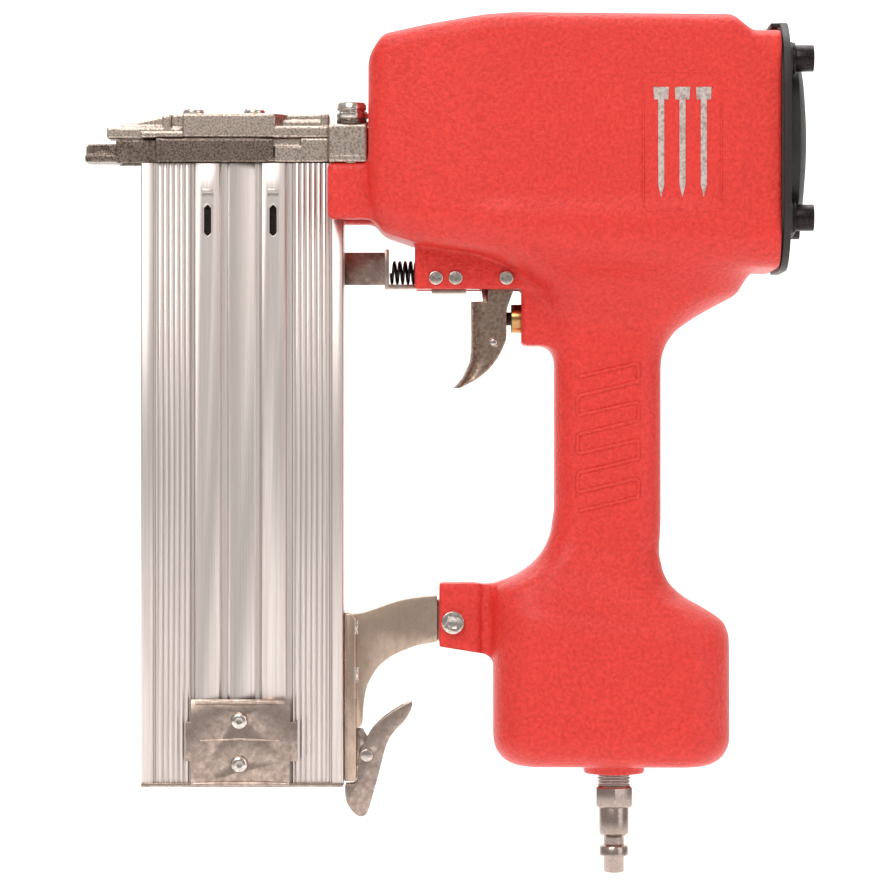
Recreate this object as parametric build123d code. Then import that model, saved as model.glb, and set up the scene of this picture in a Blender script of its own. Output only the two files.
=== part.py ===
from build123d import *

import os

# Pneumatic straight-nail nailer for floor battens and boards.  Millimetres.
# Origin: firing axis at the tip of the contact foot.  -X is the firing direction, +X runs back to
# the cap, +Z is up and the air inlet hangs down along -Z.  Y = 0 is the mid-plane; the magazine
# cover slides on the -Y side and the fixed rail lies on the +Y side.

# Firing line
CHANNEL_HALF_WIDTH = 3.6
CHANNEL_FLOOR = -1.2
CHANNEL_ROOF = 1.3
BLADE_HALF_WIDTH = 3.4
BLADE_HALF_THICK = 1.0
BLADE_TIP_X = 96.5

# Housing
FRONT_X = 115.8
REAR_X = 281.3
BARREL_TOP = 48.8
BARREL_BOTTOM = -52.5
BARREL_HALF_WIDTH = 44.0
HANDLE_FRONT = 191.5
HANDLE_REAR = 234.9
HANDLE_HALF_WIDTH = 17.5
HANDLE_TOP = -90.0
HANDLE_BOTTOM = -159.5
TANK_FRONT = 166.5
TANK_REAR = 262.6
TANK_TOP = -180.0
TANK_BOTTOM = -254.6
TANK_HALF_WIDTH = 30.0
LUG_BOTTOM = -60.3
LUG_HALF_WIDTH = 14.0

# Cylinder, piston and head valve, all on the firing axis
SLEEVE_BORE_R = 23.0
SLEEVE_OUTER_R = 26.0
SLEEVE_FRONT = 122.0
SLEEVE_REAR = 262.0
PISTON_FRONT = 243.0
PISTON_LENGTH = 12.0
BUMPER_REAR = 148.0
CAP_FACE = 282.1
CROWN_R = 38.2
CROWN_Z = -0.5
CAP_BOLT_Y = 32.0
CAP_BOLT_Z = (31.5, -32.5)

# Magazine
MAG_FRONT = 23.2
MAG_REAR = 105.4
MAG_TOP = -8.8
MAG_BOTTOM = -261.2
MAG_HALF_WIDTH = 14.0
NAIL_FRONT = 29.0
NAIL_REAR = 95.0
SLIDE_GAP = 0.15

# Nose and its bolts
NOSE_BOLT = (109.0, 20.5)
NOSE_LUG_INNER = 15.0
NOSE_LUG_OUTER = 26.0
COVER_SCREW_X = (44.3, 69.1)
COVER_SCREW_Y = 8.2
RAIL_SCREW_X = (56.7, 88.0)
RAIL_SCREW_Y = 8.8

# Trigger, valve and safety
TRIGGER_PIVOT = (171.8, -55.8)
GUIDE_PIN_X = (143.1, 151.1)
LEVER_PIVOT = (166.6, -81.9)
VALVE_Z = -72.1
SAFETY_SPRING_Z = -53.2

# Magazine bracket and latch
LATCH_PIVOT = (114.8, -250.4)
EAR_SCREW = (150.0, -196.2)
STRIP_FRONT = 105.6
STRIP_REAR = 110.7

INLET_X = 216.0


def block(x0, x1, y0, y1, z0, z1):
    """Box between two opposite corners."""
    centre = Pos((x0 + x1) / 2, (y0 + y1) / 2, (z0 + z1) / 2)
    return centre * Box(x1 - x0, y1 - y0, z1 - z0)


def rod_x(x0, x1, radius, y=0.0, z=0.0):
    """Round bar lying along X."""
    return Pos((x0 + x1) / 2, y, z) * Rot(0, 90, 0) * Cylinder(radius, x1 - x0)


def rod_y(y0, y1, radius, x, z):
    """Round bar lying along Y."""
    return Pos(x, (y0 + y1) / 2, z) * Rot(90, 0, 0) * Cylinder(radius, y1 - y0)


def rod_z(z0, z1, radius, x, y=0.0):
    """Round bar standing along Z."""
    return Pos(x, y, (z0 + z1) / 2) * Cylinder(radius, z1 - z0)


def tube_x(x0, x1, outer, inner, y=0.0, z=0.0):
    """Round tube lying along X."""
    return rod_x(x0, x1, outer, y, z) - rod_x(x0 - 1, x1 + 1, inner, y, z)


def tube_y(y0, y1, outer, inner, x, z):
    """Round tube lying along Y."""
    return rod_y(y0, y1, outer, x, z) - rod_y(y0 - 1, y1 + 1, inner, x, z)


def side_plate(points, y0, y1):
    """Outline drawn in X and Z, between two Y planes."""
    outline = Polyline(*points, close=True)
    face = Plane.XZ.offset(-y1) * make_face(outline)
    return extrude(face, amount=y1 - y0, dir=(0, -1, 0))


def end_profile(points, x0, x1):
    """Outline drawn in Y and Z, between two X planes."""
    outline = Polyline(*points, close=True)
    face = Plane.YZ.offset(x0) * make_face(outline)
    return extrude(face, amount=x1 - x0, dir=(1, 0, 0))


def plan_profile(points, z0, z1):
    """Outline drawn in X and Y, between two Z planes."""
    outline = Polyline(*points, close=True)
    face = Plane.XY.offset(z0) * make_face(outline)
    return extrude(face, amount=z1 - z0, dir=(0, 0, 1))


def mirrored(points):
    """Adds the other half of an outline whose first value changes sign."""
    return points + [(-a, b) for a, b in reversed(points)]


def coil(mean_r, wire, pitch, height, start, axis):
    """Helical spring of round wire from a start point along X, Y or Z."""
    helix = Helix(pitch, height, mean_r)
    section = Plane(origin=helix @ 0, z_dir=helix % 0) * Circle(wire / 2)
    spring = sweep(section, path=helix, is_frenet=True)
    turn = {"X": Rot(0, 90, 0), "Y": Rot(-90, 0, 0), "Z": Rot(0, 0, 0)}[axis]
    return Pos(*start) * turn * spring


def o_ring_x(x, mean_r, cord_r, z=0.0):
    """Rubber ring round a bar that lies along X."""
    return Pos(x, 0, z) * Rot(0, 90, 0) * Torus(mean_r, cord_r)


def group(solids):
    """Like pieces that share one node, kept as separate solids."""
    return Compound(children=[s.solid() if hasattr(s, "solid") else s for s in solids])


# ---------------------------------------------------------------- housing and its cylinder


def barrel():
    side = side_plate(
        [
            (FRONT_X, -33.0), (121.0, -38.0), (134.5, -41.8), (205.0, BARREL_BOTTOM),
            (REAR_X, BARREL_BOTTOM), (REAR_X, 42.6), (269.8, 42.6), (263.0, BARREL_TOP),
            (170.0, BARREL_TOP), (121.0, 42.0), (FRONT_X, 35.7),
        ],
        -BARREL_HALF_WIDTH, BARREL_HALF_WIDTH,
    )
    middle = (BARREL_TOP + BARREL_BOTTOM) / 2
    section = Plane.YZ.offset(FRONT_X) * Pos(0, middle) * RectangleRounded(
        2 * BARREL_HALF_WIDTH, BARREL_TOP - BARREL_BOTTOM, 26.0
    )
    round_section = extrude(section, amount=REAR_X - FRONT_X, dir=(1, 0, 0))
    plan = plan_profile(
        [
            (FRONT_X, -31.0), (150.0, -41.0), (170.0, -BARREL_HALF_WIDTH),
            (REAR_X, -BARREL_HALF_WIDTH), (REAR_X, BARREL_HALF_WIDTH),
            (170.0, BARREL_HALF_WIDTH), (150.0, 41.0), (FRONT_X, 31.0),
        ],
        BARREL_BOTTOM - 5, BARREL_TOP + 5,
    )
    return side & round_section & plan


def trigger_lug():
    lug = block(134.5, 180.0, -LUG_HALF_WIDTH, LUG_HALF_WIDTH, LUG_BOTTOM, -38.0)
    return lug


def belly():
    return side_plate(
        [
            (178.0, -40.0), (178.0, -80.0), (183.0, -86.5), (HANDLE_FRONT, -92.0),
            (HANDLE_FRONT, -100.0), (HANDLE_REAR, -100.0), (235.4, -87.3), (241.5, -76.2),
            (253.4, -68.9), (265.7, -62.7), (269.8, -53.3), (269.8, -40.0),
        ],
        -HANDLE_HALF_WIDTH, HANDLE_HALF_WIDTH,
    )


def grip():
    width = HANDLE_REAR - HANDLE_FRONT
    section = Plane.XY.offset(-162.0) * Pos((HANDLE_FRONT + HANDLE_REAR) / 2, 0)
    section = section * RectangleRounded(width, 2 * HANDLE_HALF_WIDTH, 12.0)
    return extrude(section, amount=75.0, dir=(0, 0, 1))


def tank():
    side = side_plate(
        [
            (HANDLE_FRONT, -150.0), (190.6, -159.0), (185.5, -169.5), (176.0, -177.0),
            (TANK_FRONT, TANK_TOP), (TANK_FRONT, -247.0), (171.5, -252.0), (186.0, TANK_BOTTOM),
            (250.0, TANK_BOTTOM), (259.0, -251.0), (TANK_REAR, -245.0), (TANK_REAR, -200.5),
            (255.5, -191.8), (240.5, -182.5), (235.2, -172.0), (HANDLE_REAR, -150.0),
        ],
        -TANK_HALF_WIDTH, TANK_HALF_WIDTH,
    )
    ends = end_profile(
        mirrored(
            [
                (-HANDLE_HALF_WIDTH, -150.0), (-HANDLE_HALF_WIDTH, -160.0),
                (-TANK_HALF_WIDTH, -190.0), (-TANK_HALF_WIDTH, -246.0), (-24.0, TANK_BOTTOM),
            ]
        ),
        TANK_FRONT, TANK_REAR,
    )
    boss = rod_z(-258.3, TANK_BOTTOM + 1, 13.0, INLET_X)
    return (side & ends) + boss


def bracket_ear():
    ear = side_plate(
        [
            (168.0, TANK_TOP), (145.8, -180.4), (144.2, -182.2), (144.2, -205.0),
            (145.6, -206.6), (160.3, -208.9), (164.6, -212.5), (168.0, -220.0),
        ],
        -8.0, 8.0,
    )
    slot = block(143.0, 158.5, -2.1, 2.1, -212.0, -178.0)
    return ear - slot


def air_chambers():
    """Everything that is hollow inside the housing, from the front wall to the inlet."""
    chambers = rod_x(119.9, SLEEVE_FRONT, 22.9)
    chambers += rod_x(SLEEVE_FRONT, 130.0, 26.05)
    chambers += rod_x(130.0, 169.0, 27.5)
    chambers += rod_x(169.0, 177.0, 26.4)
    chambers += rod_x(177.0, REAR_X + 1, 32.0)
    section = Plane.YZ.offset(179.0) * Pos(0, -1.85) * RectangleRounded(76.0, 88.0, 21.0)
    reservoir = extrude(section, amount=77.0, dir=(1, 0, 0))
    for y in (-CAP_BOLT_Y, CAP_BOLT_Y):
        for z in CAP_BOLT_Z:
            reservoir -= rod_x(178.0, 257.0, 8.0, y, z)
    chambers += reservoir
    chambers += block(198.0, 229.5, -12.5, 12.5, -200.0, -25.0)
    chambers += block(TANK_FRONT + 6.5, TANK_REAR - 6.5, -24.0, 24.0, -247.5, -196.0)
    return chambers


def housing():
    """One casting, kept as solids that meet face to face: nose lugs, barrel, neck,
    handle, tank and ear."""
    body = barrel() + trigger_lug() + belly() + grip() + tank() + bracket_ear()
    for side in (-1, 1):
        low = min(side * NOSE_LUG_INNER, side * NOSE_LUG_OUTER)
        body += block(99.2, 122.0, low, low + NOSE_LUG_OUTER - NOSE_LUG_INNER, -32.4, -9.6)
    body -= air_chambers()
    body -= block(FRONT_X - 1, 121.0, -3.8, 3.8, -1.6, 1.6)
    body -= rod_x(172.0, 199.0, 5.95, z=VALVE_Z)
    body -= rod_z(-260.0, -246.0, 6.9, INLET_X)
    body -= block(134.0, 141.2, -6.4, 6.4, -61.0, -57.9)
    body -= rod_x(134.0, 140.5, 5.3, z=SAFETY_SPRING_Z)
    body -= block(141.0, 157.5, -8.2, 8.2, -61.0, -52.6)
    body -= block(157.0, 178.0, -8.6, 8.6, -61.0, -48.0)
    for x in GUIDE_PIN_X:
        body -= rod_y(-20.0, 20.0, 2.02, x, TRIGGER_PIVOT[1])
    body -= rod_y(-20.0, 20.0, 2.02, *TRIGGER_PIVOT)
    body -= rod_y(-20.0, 20.0, 2.55, *EAR_SCREW)
    for y in (-CAP_BOLT_Y, CAP_BOLT_Y):
        for z in CAP_BOLT_Z:
            body -= rod_x(260.0, REAR_X + 1, 3.05, y, z)
    for y in (-NOSE_BOLT[1], NOSE_BOLT[1]):
        body -= rod_z(-29.0, -9.0, 4.05, NOSE_BOLT[0], y)
    regions = [
        block(90.0, FRONT_X, -50.0, 50.0, -60.0, 60.0),
        block(FRONT_X, 290.0, -50.0, 50.0, BARREL_BOTTOM, 60.0),
        block(FRONT_X, 290.0, -50.0, 50.0, HANDLE_TOP, BARREL_BOTTOM),
        block(180.0, 250.0, -50.0, 50.0, HANDLE_BOTTOM, HANDLE_TOP),
        block(TANK_FRONT, 290.0, -50.0, 50.0, -270.0, HANDLE_BOTTOM),
        block(140.0, TANK_FRONT, -50.0, 50.0, -270.0, HANDLE_BOTTOM),
    ]
    return group([solid for region in regions for solid in (body & region).solids()])


def cylinder_sleeve():
    sleeve = tube_x(SLEEVE_FRONT, SLEEVE_REAR, SLEEVE_OUTER_R, SLEEVE_BORE_R)
    sleeve -= tube_x(171.8, 174.2, SLEEVE_OUTER_R + 1, 24.2)
    for port in range(6):
        hole = Rot(60 * port, 0, 0) * rod_z(22.0, 27.0, 1.5, 160.0)
        sleeve -= hole
    return sleeve


def bumper():
    return tube_x(120.0, BUMPER_REAR, 22.6, 6.0)


def piston():
    body = rod_x(PISTON_FRONT, PISTON_FRONT + PISTON_LENGTH, SLEEVE_BORE_R - 0.08)
    body -= tube_x(PISTON_FRONT + 4, PISTON_FRONT + 7, 24.0, 20.4)
    body -= rod_x(PISTON_FRONT - 1, PISTON_FRONT + 9, 4.02)
    return body


def piston_ring():
    return tube_x(PISTON_FRONT + 4.1, PISTON_FRONT + 6.9, SLEEVE_BORE_R - 0.04, 20.5)


def driver_blade():
    blade = block(
        BLADE_TIP_X, PISTON_FRONT - 5, -BLADE_HALF_WIDTH, BLADE_HALF_WIDTH,
        -BLADE_HALF_THICK, BLADE_HALF_THICK,
    )
    return blade + rod_x(PISTON_FRONT - 6, PISTON_FRONT + 8.5, 4.0)


def cap_section(inset, x):
    size_y = 2 * (45.0 - inset)
    size_z = 100.5 - 2 * inset
    outline = RectangleRounded(size_y, size_z, 27.0 - inset)
    return Plane.YZ.offset(x) * Pos(0, -3.05) * outline


def cylinder_cap():
    flange = extrude(cap_section(0.0, CAP_FACE), amount=2.9, dir=(1, 0, 0))
    flange += block(278.9, CAP_FACE + 1, -18.0, 18.0, 45.4, 47.2)
    crown = rod_x(CAP_FACE + 1, 289.2, CROWN_R, z=CROWN_Z)
    crown += Pos(290.5, 0, CROWN_Z) * Rot(0, 90, 0) * Cone(CROWN_R, 31.0, 2.6)
    crown += Pos(292.5, 0, CROWN_Z) * Rot(0, 90, 0) * Cone(31.0, 19.0, 1.4)
    cap = flange + crown + rod_x(264.0, CAP_FACE + 1, 31.6)
    for y in (-CAP_BOLT_Y, CAP_BOLT_Y):
        for z in CAP_BOLT_Z:
            cap += rod_x(CAP_FACE + 1, 286.2, 6.6, y, z)
            cap -= rod_x(CAP_FACE - 1, 300.0, 3.3, y, z)
    cap -= rod_x(263.0, 288.0, 29.6)
    for slot in range(-2, 3):
        middle = CROWN_Z + 6.4 * slot
        cap -= block(287.0, 295.0, -13.0, 13.0, middle - 1.6, middle + 1.6)
    return cap


def cap_gasket():
    gasket = extrude(cap_section(2.0, REAR_X), amount=CAP_FACE - REAR_X, dir=(1, 0, 0))
    gasket -= rod_x(REAR_X - 1, CAP_FACE + 1, 32.0)
    for y in (-CAP_BOLT_Y, CAP_BOLT_Y):
        for z in CAP_BOLT_Z:
            gasket -= rod_x(REAR_X - 1, CAP_FACE + 1, 3.3, y, z)
    return gasket


def cap_bolts():
    bolts = []
    for y in (-CAP_BOLT_Y, CAP_BOLT_Y):
        for z in CAP_BOLT_Z:
            bolt = rod_x(262.0, 287.5, 3.0, y, z) + rod_x(287.4, 294.8, 5.35, y, z)
            socket = Plane.YZ.offset(290.5) * Pos(y, z) * RegularPolygon(2.9, 6)
            bolts.append(bolt - extrude(socket, amount=6.0, dir=(1, 0, 0)))
    return group(bolts)


def cap_washers():
    washers = []
    for y in (-CAP_BOLT_Y, CAP_BOLT_Y):
        for z in CAP_BOLT_Z:
            washers.append(tube_x(286.2, 287.4, 6.4, 3.2, y, z))
    return group(washers)


def head_valve():
    valve = rod_x(268.0, 276.0, 29.5) + rod_x(265.0, 269.0, 12.0) + rod_x(262.3, 266.0, 26.5)
    valve -= tube_x(271.0, 277.0, 24.0, 15.0)
    valve -= tube_x(271.7, 273.7, 31.0, 27.6)
    valve -= rod_x(262.0, 277.0, 7.0)
    return valve


def head_valve_spring():
    return coil(19.5, 2.4, 4.6, 14.0, (272.3, 0, 0), "X")


# ---------------------------------------------------------------- nose


def nose_guide():
    guide = block(40.0, 99.6, -13.0, 13.0, MAG_TOP, CHANNEL_ROOF)
    guide += block(MAG_FRONT, 41.0, -7.0, 7.0, MAG_TOP, CHANNEL_ROOF)
    guide += block(99.6, 115.7, -NOSE_LUG_OUTER, NOSE_LUG_OUTER, MAG_TOP, 5.9)
    for y in (-NOSE_LUG_OUTER, NOSE_LUG_INNER):
        guide += block(100.0, 115.7, y, y + 11.0, -9.6, MAG_TOP + 1)
    channel = CHANNEL_HALF_WIDTH
    guide -= block(20.0, 117.0, -channel, channel, CHANNEL_FLOOR, CHANNEL_ROOF + 0.1)
    guide -= block(NAIL_FRONT, NAIL_REAR, -channel, channel, -10.0, CHANNEL_ROOF + 1)
    for y in (-14.0, 10.5):
        guide -= block(72.0, 89.0, y, y + 3.5, -1.9, 2.0)
    for x in COVER_SCREW_X:
        for y in (-COVER_SCREW_Y, COVER_SCREW_Y):
            guide -= rod_z(-8.0, 2.0, 2.05, x, y)
    for x in RAIL_SCREW_X:
        guide -= rod_z(-10.0, 2.0, 1.9, x, RAIL_SCREW_Y)
        guide -= rod_z(-1.2, 2.0, 3.1, x, RAIL_SCREW_Y)
    for y in (-NOSE_BOLT[1], NOSE_BOLT[1]):
        guide -= rod_z(-11.0, 7.0, 4.1, NOSE_BOLT[0], y)
    return guide


def nose_cover():
    cover = side_plate(
        [(8.9, CHANNEL_ROOF), (8.9, 5.9), (34.9, 11.1), (99.6, 11.1), (99.6, CHANNEL_ROOF)],
        -13.5, 13.5,
    )
    for y0, y1 in ((-14.0, -9.0), (9.0, 14.0)):
        cover -= block(8.0, 37.0, y0, y1, 0.0, 12.0)
    cover -= block(80.0, 97.5, -14.0, 14.0, 6.0, 12.0)
    for x in COVER_SCREW_X:
        for y in (-COVER_SCREW_Y, COVER_SCREW_Y):
            cover -= rod_z(0.0, 12.0, 2.1, x, y)
    return cover


def nose_cover_screws():
    screws = []
    for x in COVER_SCREW_X:
        for y in (-COVER_SCREW_Y, COVER_SCREW_Y):
            head = Pos(x, y, 11.1) * extrude(Circle(4.5), amount=2.4, taper=25)
            screws.append(head + rod_z(-7.5, 11.2, 2.0, x, y))
    return group(screws)


def rail_screws():
    screws = []
    for x in RAIL_SCREW_X:
        screws.append(
            rod_z(-20.0, 0.0, 1.8, x, RAIL_SCREW_Y) + rod_z(-1.1, 1.0, 3.0, x, RAIL_SCREW_Y)
        )
    return group(screws)


def nose_bolts():
    bolts = []
    for y in (-NOSE_BOLT[1], NOSE_BOLT[1]):
        bolt = rod_z(-28.0, 8.6, 4.0, NOSE_BOLT[0], y) + rod_z(8.1, 14.7, 6.0, NOSE_BOLT[0], y)
        socket = Plane.XY.offset(11.0) * Pos(NOSE_BOLT[0], y) * RegularPolygon(3.5, 6)
        bolts.append(bolt - extrude(socket, amount=5.0, dir=(0, 0, 1)))
    return group(bolts)


def nose_bolt_washers():
    washers = []
    for y in (-NOSE_BOLT[1], NOSE_BOLT[1]):
        ring = rod_z(5.9, 8.1, 6.0, NOSE_BOLT[0], y) - rod_z(5.0, 9.0, 4.15, NOSE_BOLT[0], y)
        washers.append(ring)
    return group(washers)


# ---------------------------------------------------------------- magazine


def magazine_rail():
    bottom = MAG_BOTTOM + 0.2
    rail = block(MAG_FRONT, STRIP_FRONT, SLIDE_GAP, MAG_HALF_WIDTH, bottom, MAG_TOP)
    for x in (25.0, 98.0):
        rail += block(x, x + 2.7, -2.0, 1.0, bottom, MAG_TOP - 0.4)
    rail -= block(NAIL_FRONT, NAIL_REAR, -1.0, CHANNEL_HALF_WIDTH, -262.0, 0.0)
    rail -= block(32.0, 92.0, 6.2, 11.8, -262.0, -26.0)
    for x in RAIL_SCREW_X:
        rail -= rod_z(-20.5, 0.0, 1.85, x, RAIL_SCREW_Y)
    return rail


def magazine_cover():
    top = MAG_TOP - 0.4
    cover = block(MAG_FRONT, MAG_REAR, -MAG_HALF_WIDTH, -SLIDE_GAP, MAG_BOTTOM, top)
    for x in (24.8, 97.8):
        cover -= block(x, x + 3.1, -2.25, 0.0, -262.0, 0.0)
    cover -= block(NAIL_FRONT, NAIL_REAR, -CHANNEL_HALF_WIDTH, 1.0, -262.0, 0.0)
    cover -= block(59.5, 69.3, -15.0, -12.2, -262.0, 0.0)
    for x in (28.1, 43.7, 56.6, 70.1, 83.0, 99.4):
        cover -= block(x, x + 1.2, -15.0, -12.8, -262.0, 0.0)
    for x0, x1 in ((32.0, 55.0), (73.0, 96.0)):
        cover -= block(x0, x1, -10.8, -6.0, -262.0, -44.0)
    for x in (50.3, 76.9):
        cover -= block(x - 1.5, x + 1.5, -15.0, -3.0, -39.0, -25.9)
    for z in (-235.8, -253.4):
        cover -= rod_y(-13.0, -5.5, 2.05, 63.3, z)
    return cover


def magazine_end_plate():
    plate = block(MAG_FRONT, MAG_REAR, -MAG_HALF_WIDTH, -0.3, -262.8, -261.2)
    plate += block(54.0, 70.0, -0.4, 3.2, -262.8, -261.2)
    plate += block(43.5, 83.7, -15.6, -14.0, -262.8, -227.1)
    plate += block(41.4, 86.9, -15.6, -14.0, -252.2, -236.2)
    for z in (-235.8, -253.4):
        plate -= rod_y(-16.0, -13.0, 2.2, 63.3, z)
    return plate


def end_plate_screws():
    screws = []
    for z in (-235.8, -253.4):
        head = rod_y(-17.6, -15.6, 3.5, 63.3, z)
        screws.append(head + rod_y(-16.0, -6.0, 2.0, 63.3, z))
    return group(screws)


def pusher():
    body = block(30.0, 94.0, -2.9, 2.9, -38.0, -12.0)
    body -= block(40.0, 84.0, -4.0, 4.0, -34.0, -24.0)
    body += block(58.0, 66.0, -2.9, 2.9, -38.0, -12.0)
    body -= rod_z(-39.0, -11.0, 1.4, 62.0)
    return body


def pusher_rod():
    return rod_z(MAG_BOTTOM, -14.0, 1.2, 62.0)


def pusher_spring():
    return coil(2.1, 0.7, 7.4, 222.0, (62.0, 0, -260.8), "Z")


# ---------------------------------------------------------------- bracket and latch


def magazine_bracket():
    arm_points = [
        (143.6, -185.3), (134.1, -186.1), (126.3, -187.8), (118.1, -190.7), (112.8, -192.7),
        (STRIP_FRONT, -193.0), (STRIP_FRONT, -239.5), (111.4, -239.5), (113.0, -232.0),
        (114.6, -222.5), (119.0, -214.5), (125.0, -210.0), (135.3, -205.8), (143.6, -204.2),
    ]
    arm = side_plate(arm_points, -7.0, 7.0)
    arm -= side_plate(
        [
            (144.5, -187.2), (134.0, -188.0), (119.0, -192.6), (STRIP_REAR, -194.6),
            (STRIP_REAR, -231.0), (112.5, -221.5), (117.5, -213.0), (124.0, -208.2),
            (135.0, -204.0), (144.5, -202.2),
        ],
        -5.2, 8.0,
    )
    strip = block(STRIP_FRONT, STRIP_REAR, -9.0, 13.8, MAG_BOTTOM, -192.3)
    tab = block(142.0, 157.8, -2.0, 2.0, -204.0, -187.0)
    tab += block(141.8, 143.6, -7.0, 7.0, -204.4, -185.5)
    bracket = arm + strip + tab
    for y in (-4.6, 2.6):
        bracket += block(STRIP_REAR - 1, 117.3, y, y + 2.0, -255.0, -246.4)
    bracket -= rod_y(-10.0, 10.0, 1.78, *LATCH_PIVOT)
    bracket -= rod_y(-3.0, 3.0, 2.55, *EAR_SCREW)
    return bracket


def bracket_screw():
    x, z = EAR_SCREW
    screw = rod_y(-8.1, 14.0, 2.5, x, z) + rod_y(-11.4, -8.0, 4.6, x, z)
    socket = Plane.XZ.offset(9.6) * Pos(x, z) * RegularPolygon(2.4, 6)
    return screw - extrude(socket, amount=4.0, dir=(0, -1, 0))


def bracket_nut():
    x, z = EAR_SCREW
    nut = Plane.XZ.offset(-12.0) * Pos(x, z) * RegularPolygon(4.6, 6)
    return extrude(nut, amount=4.0, dir=(0, -1, 0)) - rod_y(7.0, 13.0, 2.55, x, z)


def latch_lever():
    outline = [
        (133.5, -229.0), (131.6, -234.9), (126.7, -239.9), (123.4, -244.8), (121.8, -249.7),
        (118.9, -259.5), (117.4, -265.5), (114.6, -274.3), (112.6, -275.6), (109.5, -274.3),
        (105.9, -268.5), (105.9, -263.4), (110.9, -262.6), (111.4, -254.0), (112.0, -250.0),
        (114.8, -245.5), (116.0, -240.5), (124.0, -234.5),
    ]
    lever = side_plate(outline, -7.0, 7.0)
    inner = [(x - 2.0, z) for x, z in outline[:7]]
    inner += [(113.0, -270.0), (112.0, -266.5), (104.0, -261.0), (104.0, -240.0), (116.0, -232.0)]
    lever -= side_plate(inner, -5.0, 5.0)
    lever -= rod_y(-10.0, 10.0, 1.82, *LATCH_PIVOT)
    return lever


def latch_pin():
    x, z = LATCH_PIVOT
    return rod_y(-7.6, 7.6, 1.75, x, z) + rod_y(-8.4, -7.2, 2.6, x, z)


def latch_spring():
    x, z = LATCH_PIVOT
    return coil(2.5, 0.8, 1.0, 3.6, (x, -1.8, z), "Y")


# ---------------------------------------------------------------- safety


def safety_contact():
    foot = side_plate(
        [(0.0, -7.4), (0.0, -2.8), (2.0, -0.8), (14.3, -0.8), (14.3, -8.8), (3.0, -8.4)],
        -9.0, 9.0,
    )
    contact = foot
    for side in (-1, 1):
        front = sorted((side * 7.3, side * 9.0))
        rear = sorted((side * 13.3, side * 15.1))
        step = sorted((side * 7.3, side * 15.1))
        contact += block(13.5, 31.0, *front, -8.8, 0.6)
        contact += block(29.4, 31.0, *step, -8.8, 0.6)
        contact += block(29.4, 77.0, *rear, -8.8, 0.6)
    contact -= block(-1.0, 15.0, -3.8, 3.8, -1.4, 1.0)
    return contact


def safety_link():
    link = block(66.0, 78.0, 15.1, 16.6, -57.6, -2.0)
    link += block(66.0, 123.8, 15.1, 16.6, -57.6, -44.1)
    link += block(122.2, 123.8, -7.0, 16.6, -60.0, -43.9)
    link += block(122.2, 161.0, -6.0, 6.0, -60.0, -58.2)
    return link


def safety_spring():
    return coil(4.3, 1.2, 2.36, 15.4, (124.4, 0, SAFETY_SPRING_Z), "X")


def retaining_clip():
    clip = block(141.3, 155.4, -10.0, 10.0, -61.9, LUG_BOTTOM)
    for y in (-8.0, 6.6):
        clip += block(141.3, 155.4, y, y + 1.4, -61.0, -53.0)
    for x in GUIDE_PIN_X:
        clip -= rod_y(-12.0, 12.0, 2.05, x, TRIGGER_PIVOT[1])
    return clip


def lug_pin(x, z):
    """Pin through the lug with a low round head on the near side."""
    return rod_y(-LUG_HALF_WIDTH, 15.6, 2.0, x, z) + rod_y(-15.2, -LUG_HALF_WIDTH, 2.9, x, z)


def guide_pins():
    return group([lug_pin(x, TRIGGER_PIVOT[1]) for x in GUIDE_PIN_X])


def pin_clips():
    rings = []
    for x in (*GUIDE_PIN_X, TRIGGER_PIVOT[0]):
        rings.append(tube_y(LUG_HALF_WIDTH, 14.9, 3.4, 2.02, x, TRIGGER_PIVOT[1]))
    return group(rings)


# ---------------------------------------------------------------- trigger and valve


def trigger():
    cheek = [
        (166.6, -51.0), (176.2, -51.0), (176.2, -58.0), (174.0, -62.0), (171.7, -68.5),
        (171.7, -80.8), (168.5, -87.3), (165.2, -92.3), (160.3, -96.4), (155.0, -99.2),
        (149.7, -100.5), (153.5, -97.0), (157.2, -89.8), (157.2, -65.2), (160.0, -62.5),
        (164.0, -60.6),
    ]
    plate = side_plate(cheek, -8.0, 8.0)
    hollow = [
        (163.0, -50.0), (180.0, -50.0), (180.0, -82.0), (165.0, -97.0), (160.0, -101.0),
        (154.5, -98.2), (158.6, -90.2), (158.6, -61.8), (163.0, -58.0),
    ]
    lever_window = block(156.0, 178.0, -6.6, 6.6, -62.6, -50.0)
    plate -= side_plate(hollow, -6.6, 6.6)
    plate -= lever_window
    plate -= rod_y(-10.0, 10.0, 2.06, *TRIGGER_PIVOT)
    plate -= rod_y(-10.0, 10.0, 1.52, *LEVER_PIVOT)
    return plate


def trigger_lever():
    lever = side_plate(
        [
            (164.6, -82.5), (161.5, -59.0), (163.6, -58.8), (166.4, -69.0), (167.4, -73.0),
            (168.6, -81.0),
        ],
        -4.0, 4.0,
    )
    lever += rod_y(-5.6, 5.6, 3.0, *LEVER_PIVOT)
    return lever - rod_y(-10.0, 10.0, 1.56, *LEVER_PIVOT)


def lever_pin():
    return rod_y(-8.4, 8.4, 1.5, *LEVER_PIVOT)


def trigger_pin():
    return lug_pin(*TRIGGER_PIVOT)


def trigger_spring():
    x, z = TRIGGER_PIVOT
    return coil(3.3, 0.7, 0.8, 1.6, (x, 4.55, z), "Y")


def valve_body():
    body = rod_x(173.8, 197.5, 5.9, z=VALVE_Z)
    body -= rod_x(173.0, 187.0, 2.8, z=VALVE_Z)
    body -= rod_x(186.0, 198.0, 4.4, z=VALVE_Z)
    for x in (181.0, 193.0):
        body -= tube_x(x - 0.8, x + 0.8, 7.0, 4.8, z=VALVE_Z)
    return body


def valve_o_rings():
    return group([o_ring_x(x, 5.35, 0.5, VALVE_Z) for x in (181.0, 193.0)])


def valve_stem():
    return rod_x(171.4, 188.0, 2.72, z=VALVE_Z) + rod_x(187.3, 189.5, 4.32, z=VALVE_Z)


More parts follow.
